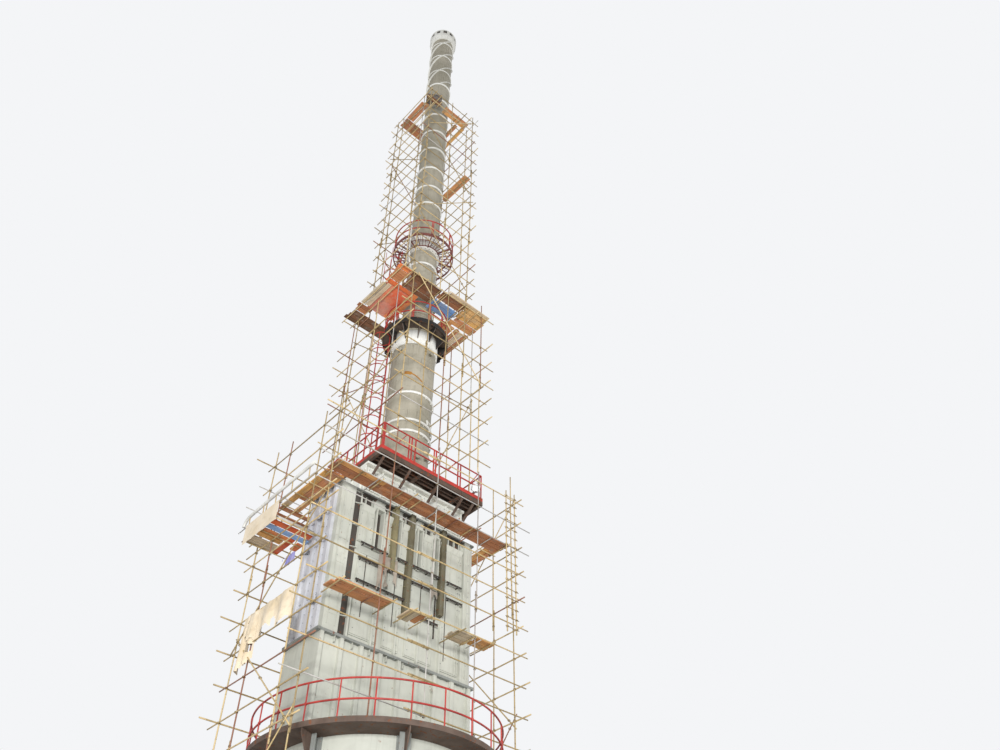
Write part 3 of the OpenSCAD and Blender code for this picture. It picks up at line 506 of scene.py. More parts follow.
# Dark plate for the level angles and seams, and painted shade at the backs of the slot, recesses and notches,
# behind the louvre, in the port and inside the crown.
DARK_AND_PAINTED_SHADE = WeatheredPaint("dark_plate_and_painted_shade", "#4b4640", "#39352f", "#241f1b", rust_from=0.6)
DRUM_PAINT = WeatheredPaint("scuffed_drum_lacquer", "#77706a", "#655f58", "#403b35", rust_from=0.58)
PIPE_WHITE = WeatheredPaint("extruded_white_pipe", "#d9d8d2", "#c6c5bf", "#8d8a80", rust_share=0.0,
                            roughness=0.4, plate_mm=300)
ZINC = RoughMetal("hot_dip_zinc", "#9ea2a2", "#7f8485", 0.85, 0.42, 30)
IRON = RoughMetal("sand_cast_iron", "#3b3a39", "#2c2b2a", 0.6, 0.65, 12)
BAMBOO = Bamboo()
TIMBER = SawnTimber()
ORANGE_BOARD = SawnTimber("orange_faced_board", ((0.0, "#b64a2c"), (0.5, "#dd6a3c"), (1.0, "#f09a5c")),
                          "#9a4122", 0.3)
BLUE_BOARD = SawnTimber("blue_faced_board", ((0.0, "#5679ad"), (0.5, "#7ba6dc"), (1.0, "#c9d7ec")),
                        "#44556c", 0.3)
LASHING = SplitCane()
GLASS = ClearGlass()
ORANGE_TARP = WovenPlastic("woven_orange_tarpaulin", "#dc5f38", "#e0855f")
SALMON_TARP = WovenPlastic("woven_salmon_tarpaulin", "#cf7a64", "#d99a82", "#a08a7c")
CREAM_SHEET = WovenPlastic("woven_cream_sheet", "#dccdb4", "#cfbd9e", "#ab9b82")
PURPLE_CLOTH = WovenPlastic("woven_purple_cloth", "#8486c6", "#acaddc", "#9c98a8")
RAG_SHEET = WovenPlastic("woven_grey_rag", "#a3988a", "#8b8175", "#6e665c")


class PieceMesh:
    """Gathers swept, turned and barred solids into the mesh of one piece, each in one of its finishes."""

    GRAIN_SHIFT = (3.1, 5.3, 17.0)   # moves the grain by tone, so that no two solids match
    MOST_CUT = 0.3                   # largest chamfer, as a share of a side
    BOW_SHARE = 0.05                 # bow of a warped board by its twist and length
    FLANGE_T = 0.02                  # thickness of the flange of a small nozzle

    def __init__(self, *finishes: Finish) -> None:
        """Starts with no solid; a solid that names no finish gets the first one."""
        self._finishes = finishes
        self._points: list[np.ndarray] = []
        self._traits: list[np.ndarray] = []
        self._faces: list[list[int]] = []
        self._slots: list[int] = []
        self._smooth: list[bool] = []
        self._count = 0

    def loft(self, rings: np.ndarray, finish: Optional[Finish] = None, tone: float = 0.5,
             ring: Optional[np.ndarray] = None, smooth: bool = True, closed: bool = False) -> None:
        """Joins rings of points into a solid.

        Args:
            rings: Points by ring and by place in the ring.
            finish: One of the piece's finishes.
            tone: Colour tone of this solid from 0 to 1.
            ring: For each ring, how much of a joint line lies on it.
            smooth: Whether its sides are shaded smooth.
            closed: Whether the last ring joins the first, so that no cap is needed.
        """
        count, sides = rings.shape[:2]
        index = self._count + np.arange(count * sides).reshape(count, sides)
        steps = count if closed else count - 1
        corners = [np.roll(index, (-up, -on), (0, 1))[:steps] for up, on in ((0, 0), (0, 1), (1, 1), (1, 0))]
        quads = np.stack(corners, axis=-1).reshape(-1, 4).tolist()
        caps = [] if closed else [index[0][::-1].tolist(), index[-1].tolist()]
        self._faces += quads + caps
        self._slots += [self._finishes.index(finish) if finish else 0] * (len(quads) + len(caps))
        self._smooth += [smooth] * len(quads) + [False] * len(caps)
        middle = rings.mean(axis=1)
        along = np.concatenate([[0.0], np.cumsum(np.linalg.norm(np.diff(middle, axis=0), axis=1))])
        girth = np.linalg.norm(rings[count // 2] - middle[count // 2], axis=1).mean()
        turn = np.linspace(0, 2 * math.pi, sides, endpoint=False)
        traits = np.zeros((count * sides, 5))
        traits[:, 0] = tone
        traits[:, 1] = 0 if ring is None else np.repeat(ring, sides)
        traits[:, 2] = np.repeat(along, sides)
        traits[:, 3] = np.tile(girth * np.cos(turn), count)
        traits[:, 4] = np.tile(girth * np.sin(turn), count)
        traits[:, 2:] += tone * np.array(self.GRAIN_SHIFT)
        self._points.append(rings.reshape(-1, 3))
        self._traits.append(traits)
        self._count += count * sides

    def sweep(self, path: np.ndarray, radius: Union[float, np.ndarray], sides: int = 8,
              finish: Optional[Finish] = None, tone: float = 0.5, ring: Optional[np.ndarray] = None,
              closed: bool = False) -> None:
        """Sweeps a round section along a path.

        Args:
            path: Points of the centre line.
            radius: One radius, or one for each point.
            sides: Sides of the section.
            finish: One of the piece's finishes.
            tone: Colour tone from 0 to 1.
            ring: Joint line strength for each point.
            closed: Whether the path is a loop.
        """
        path = np.asarray(path, float)
        tangents = (np.roll(path, -1, 0) - np.roll(path, 1, 0)) if closed else np.gradient(path, axis=0)
        tangents /= np.maximum(np.linalg.norm(tangents, axis=1, keepdims=True), TINY)
        normal = np.cross(tangents[0], AXIS_Z if abs(tangents[0][2]) < STEEP else AXIS_X)
        radii = np.broadcast_to(radius, (len(path),))
        rings = np.empty((len(path), sides, 3))
        for i, tangent in enumerate(tangents):
            normal = unit(normal - tangent * float(normal @ tangent))
            rings[i] = path[i] + radii[i] * circle(normal, np.cross(tangent, normal), sides)
        self.loft(rings, finish, tone, ring, closed=closed)

    def bar(self, start: np.ndarray, end: np.ndarray, up: np.ndarray, width: float, height: float,
            finish: Optional[Finish] = None, tone: float = 0.5, chamfer: float = 0.0015, warp: float = 0.0,
            stations: int = 2) -> None:
        """A rectangular bar with small chamfers on all edges.

        Args:
            start: Middle of one end face.
            end: Middle of the other end face.
            up: Direction of its height.
            width: Size across.
            height: Size along up.
            finish: One of the piece's finishes.
            tone: Colour tone from 0 to 1.
            chamfer: Size of the chamfer.
            warp: Twist from end to end in radians, with a matching bow.
            stations: Number of inner sections, two or more.
        """
        length = float(np.linalg.norm(end - start))
        along = (end - start) / length
        side = unit(np.cross(along, up))
        top = np.cross(side, along)
        cut = min(chamfer, *(self.MOST_CUT * size for size in (width, height, length)))
        a, b = width / 2, height / 2
        full = np.array([(a - cut, b), (a, b - cut), (a, cut - b), (a - cut, -b),
                         (cut - a, -b), (-a, cut - b), (-a, b - cut), (cut - a, b)])
        small = full * np.array([(a - cut) / a, (b - cut) / b])
        places = [0.0, *np.linspace(cut, length - cut, stations), length]
        rings = []
        for number, place in enumerate(places):
            across, rise = (small if number in (0, len(places) - 1) else full).T
            angle = warp * (place / length - 0.5)
            bow = warp * self.BOW_SHARE * length * math.sin(math.pi * place / length)
            turned = np.outer(across * math.cos(angle) - rise * math.sin(angle), side)
            lifted = np.outer(across * math.sin(angle) + rise * math.cos(angle) + bow, top)
            rings.append(start + along * place + turned + lifted)
        self.loft(np.array(rings), finish, tone, smooth=False)

    def block(self, corner: Sequence[float], other: Sequence[float], finish: Optional[Finish] = None,
              chamfer: float = 0.003) -> None:
        """A chamfered block between two opposite corners, as a bar along its longest edge."""
        corners = np.array([corner, other], float)
        middle, size = corners.mean(axis=0), np.abs(corners[1] - corners[0])
        longest = int(np.argmax(size))
        up = 1 if longest == 2 else 2
        axes = np.eye(3)
        step = axes[longest] * size / 2
        self.bar(middle - step, middle + step, axes[up], size[3 - longest - up], size[up], finish,
                 chamfer=chamfer)

    def turned(self, origin: np.ndarray, axis: np.ndarray, profile: Sequence[tuple[float, float]],
               sides: int = 32, finish: Optional[Finish] = None, smooth: bool = True,
               hollow: bool = False) -> None:
        """Turns a profile of radius and height about an axis.

        Args:
            origin: Point on the axis at height zero.
            axis: Direction of the axis.
            profile: Pairs of radius and height.
            sides: Sides round the axis.
            finish: One of the piece's finishes.
            smooth: Whether it is shaded smooth.
            hollow: Whether the profile is a loop off the axis.
        """
        axis = unit(axis)
        first = unit(np.cross(axis, AXIS_X if abs(axis[0]) < STEEP else AXIS_Y))
        ring = circle(first, np.cross(axis, first), sides)
        rings = np.array([origin + axis * height + radius * ring for radius, height in profile])
        self.loft(rings, finish, smooth=smooth, closed=hollow)

    def hoop(self, inner: float, outer: float, low: float, high: float, sides: int = 96,
             finish: Optional[Finish] = None, smooth: bool = False) -> None:
        """A square-edged ring about the stack's axis, between two radii and two heights."""
        thick = high - low
        self.turned(AXIS_Z * low, AXIS_Z, [(inner, 0), (outer, 0), (outer, thick), (inner, thick)], sides,
                    finish, smooth, True)

    def bead(self, radius: float, height: float, size: float) -> None:
        """A weld bead round the stack's axis."""
        self.turned(AXIS_Z * height, AXIS_Z,
                    [(radius - size, -size), (radius + size * 0.5, -size * 0.7), (radius + size, 0),
                     (radius + size * 0.5, size * 0.7), (radius - size, size)], 96, hollow=True)

    def bolt(self, origin: np.ndarray, axis: np.ndarray, size: float,
             finish: Optional[Finish] = None) -> None:
        """A domed hexagon head on a wider foot."""
        self.turned(origin, axis, [(size * 1.25, 0), (size * 1.25, size * 0.25), (size, size * 0.25 + 1e-4),
                                   (size, size), (size * 0.75, size * 1.2)], 6, finish, smooth=False)

    def nozzle(self, root: np.ndarray, out: np.ndarray, radius: float, length: float, flange: float,
               bore: float) -> None:
        """A short pipe that ends in a flange with an open bore."""
        end = length + self.FLANGE_T
        self.turned(root, out, [(radius, 0), (radius, length), (flange, length), (flange, end),
                                (bore, end)], 20)

    def collar(self, centre: np.ndarray, out: np.ndarray) -> None:
        """A short sleeve where a knee rail passes a post."""
        self.turned(centre, out, [(0.017, -0.016), (0.017, 0.016)], 10)

    def mesh(self, name: str) -> bpy.types.Mesh:
        """The gathered solids as a bare mesh."""
        mesh = bpy.data.meshes.new(name)
        mesh.from_pydata(np.concatenate(self._points).tolist(), [], self._faces)
        return mesh

    def piece(self, name: str, slot_name: str) -> bpy.types.Object:
        """Makes the Blender object, which rides on the one body.

        Args:
            name: Name of the piece.
            slot_name: Name of a material slot; not used.

        Returns:
            The new object.
        """
        mesh = self.mesh(name)
        traits = np.concatenate(self._traits).astype(np.float32)
        for title, column in (("tone", 0), ("ring", 1)):
            layer = mesh.attributes.new(title, "FLOAT", "POINT")
            layer.data.foreach_set("value", np.ascontiguousarray(traits[:, column]))
        keep_grain(mesh, traits[:, 2:])
        mesh.polygons.foreach_set("material_index", self._slots)
        mesh.polygons.foreach_set("use_smooth", self._smooth)
        work = bmesh.new()
        work.from_mesh(mesh)
        bmesh.ops.recalc_face_normals(work, faces=work.faces)
        work.to_mesh(mesh)
        work.free()
        obj = link(name, mesh)
        for finish in self._finishes:
            mesh.materials.append(finish.material())
        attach(obj, BODY)
        LOG.info("%s: %d faces", name, len(self._faces))
        return obj


class PoleWork(PieceMesh):
    """A piece of bamboo poles and their ties, with what else lies among them."""

    JOINT = 0.2             # usual length between two joints of a culm
    JOINT_HALF = 0.006      # half length of the thicker place at a joint
    LONGEST = 3.1           # longest pole, about six real metres
    LAP = 0.36              # how far two poles lie side by side
    STRIP_R = 0.0022        # half thickness of a lashing strip
    STEEL_TONE = 1.0        # tone of a grey steel tube, which has no joints or taper
    SIDES = 7

    def __init__(self, seed: int, *others: Finish) -> None:
        """Starts with its own row of random draws."""
        super().__init__(BAMBOO, LASHING, *others)
        self.rng = random.Random(seed)

    def tone(self) -> float:
        """A usual straw tone, now and then a red or grey pole."""
        draw = self.rng.random()
        if draw > 0.95:
            return self.STEEL_TONE
        return self.rng.uniform(0.84, 0.92) if draw > 0.86 else self.rng.uniform(0.22, 0.74)

    def pole(self, start: np.ndarray, end: np.ndarray, radius: float = POLE_R,
             tone: Optional[float] = None) -> None:
        """One pole with its joints, taper and a slight bow."""
        tone = self.tone() if tone is None else tone
        length = float(np.linalg.norm(end - start))
        along = (end - start) / length
        tube = tone > 0.96
        gap = self.JOINT * self.rng.uniform(0.85, 1.2)
        marks = np.arange(gap * self.rng.uniform(0.3, 0.9), length - 0.02, 5 * length if tube else gap)
        places = np.concatenate([[0.0, length], marks - self.JOINT_HALF, marks, marks + self.JOINT_HALF])
        places = np.unique(places.clip(0, length))
        ring = np.isin(places, marks).astype(float) * (0.0 if tube else 1.0)
        taper = np.full_like(places, 0.82) if tube else 1.05 - 0.16 * places / length
        across = unit(np.cross(along, point(self.rng.uniform(-1, 1), self.rng.uniform(-1, 1), 0.37)))
        bow = self.rng.uniform(0, 0.0022) * length * np.sin(math.pi * places / length)
        path = start + np.outer(places, along) + np.outer(bow, across)
        self.sweep(path, radius * taper * (1 + 0.13 * ring), self.SIDES, BAMBOO, tone, ring)

    def _tie(self, centre: np.ndarray, first: np.ndarray, second: np.ndarray) -> None:
        """One turn of strip, spanned by two half widths."""
        self.sweep(centre + circle(first, second, 10), self.STRIP_R, 3, LASHING, self.rng.random(),
                   closed=True)

    def lash(self, centre: np.ndarray, first: np.ndarray, second: np.ndarray) -> None:
        """Two crossed turns of strip round the place where two poles meet."""
        through = unit(np.cross(first, second)) * (POLE_D + 0.003)
        for sign in (1, -1):
            slant, way = unit(first + sign * second), unit(first - sign * second)
            for shift in (-0.006, 0.006):
                self._tie(centre + shift * way, slant * POLE_R * 1.5, through)

    def wrap(self, centre: np.ndarray, along: np.ndarray, beside: np.ndarray) -> None:
        """Turns of strip round two poles that lie side by side."""
        other = unit(np.cross(along, beside)) * (POLE_R + 0.004)
        for shift in (-0.008, 0.0, 0.008):
            self._tie(centre + shift * along, beside * (POLE_D + 0.003), other)

    def run(self, start: np.ndarray, end: np.ndarray, beside: np.ndarray,
            tone: Optional[float] = None) -> None:
        """A long line of poles, lapped and tied where one ends and the next goes on."""
        length = float(np.linalg.norm(end - start))
        along = (end - start) / length
        count = max(1, math.ceil(length / self.LONGEST))
        part = length / count
        for number in range(count):
            shift = beside * (POLE_D if number % 2 else 0.0)
            low = max(0.0, number * part - self.LAP / 2)
            high = min(length, (number + 1) * part + self.LAP / 2)
            self.pole(start + along * low + shift, start + along * high + shift, POLE_R, tone)
            if number:
                for offset in (-0.3, 0.3):
                    middle = start + along * (number * part + offset * self.LAP) + beside * POLE_R
                    self.wrap(middle, along, beside)


@dataclass(frozen=True)
class LatticeSide:
    """One flat side of the scaffold: uprights on one plane, ledgers lashed outside them."""

    node: str
    along: Axis
    plane: float
    outward: int
    uprights: tuple
    foot: float
    head: float
    ledgers: tuple
    reach: tuple
    seed: int
    wander: float
    braces: int = 0
    white: tuple = ()
    tones: tuple = ()
    slants: tuple = ()

    def spot(self, place: float, out: float, height: float) -> np.ndarray:
        """A point by its place along the side, its distance outside the uprights and its height."""
        level = self.plane + self.outward * out
        return point(place, level, height) if self.along is Axis.X else point(level, place, height)

    def build(self) -> bpy.types.Object:
        """Makes the poles and lashings that stand for the CAD lattice."""
        work = PoleWork(self.seed)
        direction = self.along.vector
        for number, place in enumerate(self.uprights):
            rise = work.rng.uniform(0.0, self.wander)
            work.run(self.spot(place, 0, self.foot), self.spot(place, 0, self.head + rise), direction,
                     self.tones[number] if self.tones else None)
        for number, height in enumerate(self.ledgers):
            ends = [self.reach[0] + work.rng.uniform(0, 2 * self.wander),
                    self.reach[1] - work.rng.uniform(0, 2 * self.wander)]
            tilt = work.rng.uniform(-0.012, 0.012)
            first = self.spot(ends[0], POLE_D, height - tilt)
            last = self.spot(ends[1], POLE_D, height + tilt)
            if number in self.white:
                work.pole(first, last, POLE_R, PoleWork.STEEL_TONE)
            else:
                work.run(first, last, AXIS_Z)
            for place in self.uprights:
                work.lash(self.spot(place, POLE_R, height), direction, AXIS_Z)
        self._brace(work)
        obj = work.piece("bamboo_" + self.node, "bamboo_poles")
        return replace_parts(obj, self.node)

    def _brace(self, work: PoleWork) -> None:
        """Lays slanting poles outside the ledgers, as listed or in a zigzag."""
        for start, end, tone in self.slants:
            work.pole(self.spot(start[0], 2 * POLE_D, start[1]), self.spot(end[0], 2 * POLE_D, end[1]),
                      POLE_R, tone)
        if not self.braces:
            return
        low, ends = self.ledgers[0], (self.uprights[-1], self.uprights[0])
        step = (self.ledgers[-1] - low) / self.braces
        for number in range(self.braces):
            bottom, top = (self.spot(ends[(number + up) % 2] + work.rng.uniform(-0.08, 0.08), 2 * POLE_D,
                                     low + (number + up) * step + over)
                           for up, over in ((0, -0.1), (1, 0.12)))
            work.pole(bottom, top, POLE_R * 0.92)
            for share in (0.08, 0.5, 0.92):
                work.lash(bottom + (top - bottom) * share, unit(top - bottom), self.along.vector)


@dataclass(frozen=True)
class Strip:
    """A strip of boards between two corners at one height, on bearers of bamboo."""

    along: Axis
    low: tuple
    high: tuple
    tones: tuple
    gaps: float = 0.0
    bearers: float = 0.0
    face: Finish = TIMBER

    def ends(self, along: Union[float, tuple], across: Union[float, tuple, np.ndarray],
             height: float) -> np.ndarray:
        """Two points by their places along and across the strip, at one height."""
        ends = np.zeros((2, 3))
        ends[:, self.along.value] = along
        ends[:, 1 - self.along.value] = across
        ends[:, 2] = height
        return ends


@dataclass(frozen=True)
class PlankDeck:
    """Boards laid on cross poles."""

    node: str
    height: float
    strips: tuple
    poles: tuple
    seed: int
    loose: tuple = ()
    board_width: float = 0.112
    overhang: float = 0.06

    def build(self) -> bpy.types.Object:
        """Makes the boards and cross poles that stand for the CAD deck."""
        work = PoleWork(self.seed, TIMBER, ORANGE_BOARD, BLUE_BOARD)
        for start, end in self.poles:
            first, last = np.array(start, float), np.array(end, float)
            spare = unit(last - first) * work.rng.uniform(0.0, 0.08)
            work.pole(first + spare, last - spare * 0.5, POLE_R)
        for strip in self.strips:
            if strip.bearers:
                self._bear(work, strip)
            self._lay(work, strip)
        for start, end, tone in self.loose:
            work.bar(np.array(start, float), np.array(end, float), AXIS_Z, self.board_width, BOARD_T, TIMBER,
                     tone, warp=0.04, stations=4)
        obj = work.piece("boards_" + self.node, "scaffold_planks")
        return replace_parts(obj, self.node)

    def _bear(self, work: PoleWork, strip: Strip) -> None:
        """Lays thin bearers across a strip wherever no cross pole lies already."""
        a = strip.along.value
        count = max(2, round((strip.high[a] - strip.low[a]) / strip.bearers))
        taken = [start[a] for start, end in self.poles if abs(start[a] - end[a]) < POLE_R]
        for place in np.linspace(strip.low[a] + self.overhang, strip.high[a] - self.overhang, count):
            at = place + work.rng.uniform(-0.02, 0.02)
            if any(abs(at - other) < 2 * POLE_D for other in taken):
                continue
            reach = (strip.low[1 - a] - self.overhang * work.rng.uniform(0.2, 1.2), strip.high[1 - a] + 0.01)
            work.pole(*strip.ends(at, reach, self.height - CLEAR - POLE_R), POLE_R * 0.95)

    def _lay(self, work: PoleWork, strip: Strip) -> None:
        """Lays rows of boards of mixed length, some a little askew."""
        rng, a = work.rng, strip.along.value
        across, edge, end = strip.low[1 - a] + 0.004, strip.high[1 - a], strip.high[a]
        while across + 0.6 * self.board_width < edge:
            width = min(self.board_width * rng.uniform(0.8, 1.06), edge - across)
            place = strip.low[a] + rng.uniform(-0.02, 0.05)
            while place < end - 0.1:
                far = min(place + rng.uniform(0.8, 1.6), end + rng.uniform(-0.04, 0.02))
                if rng.random() > strip.gaps:
                    askew = np.array([rng.uniform(-0.004, 0.004) for _ in range(2)])
                    first, last = strip.ends((place, far), across + width / 2 + askew,
                                             self.height + BOARD_T / 2 + rng.uniform(0, 0.003))
                    work.bar(first, last, AXIS_Z, width * 0.94, BOARD_T, strip.face,
                             rng.uniform(*strip.tones), 0.0012, rng.uniform(-0.03, 0.03), 4)
                place = far + rng.uniform(0.004, 0.012)
            across += width + rng.uniform(0.002, 0.009)


@dataclass(frozen=True)
class PoleLadder:
    """A ladder of thin bamboo, tied together."""

    node: str = "pole_ladder"
    middle_x: float = 1.64
    middle_y: float = -1.0 - 2 * POLE_D
    half: float = 0.1
    rung_gap: float = 0.17
    seed: int = 97

    def build(self) -> bpy.types.Object:
        """Makes the ladder that stands for the CAD one."""
        work = PoleWork(self.seed)
        low, high = ledger_height(4) - 0.15, ledger_height(9) + 0.15
        rails = (self.middle_x - self.half, self.middle_x + self.half)
        for x in rails:
            foot = point(x, self.middle_y, low)
            work.pole(foot, foot + AXIS_Z * (high - low), POLE_R, 0.6)
        for height in np.arange(low + 0.08, high - 0.06, self.rung_gap):
            work.pole(point(rails[0] - 0.045, self.middle_y - POLE_R, height),
                      point(rails[1] + 0.045, self.middle_y - POLE_R, height), POLE_R * 0.7)
            for x in rails:
                work.lash(point(x, self.middle_y - POLE_R / 2, height), AXIS_X, AXIS_Z)
        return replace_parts(work.piece("bamboo_ladder", "bamboo_poles"), self.node)


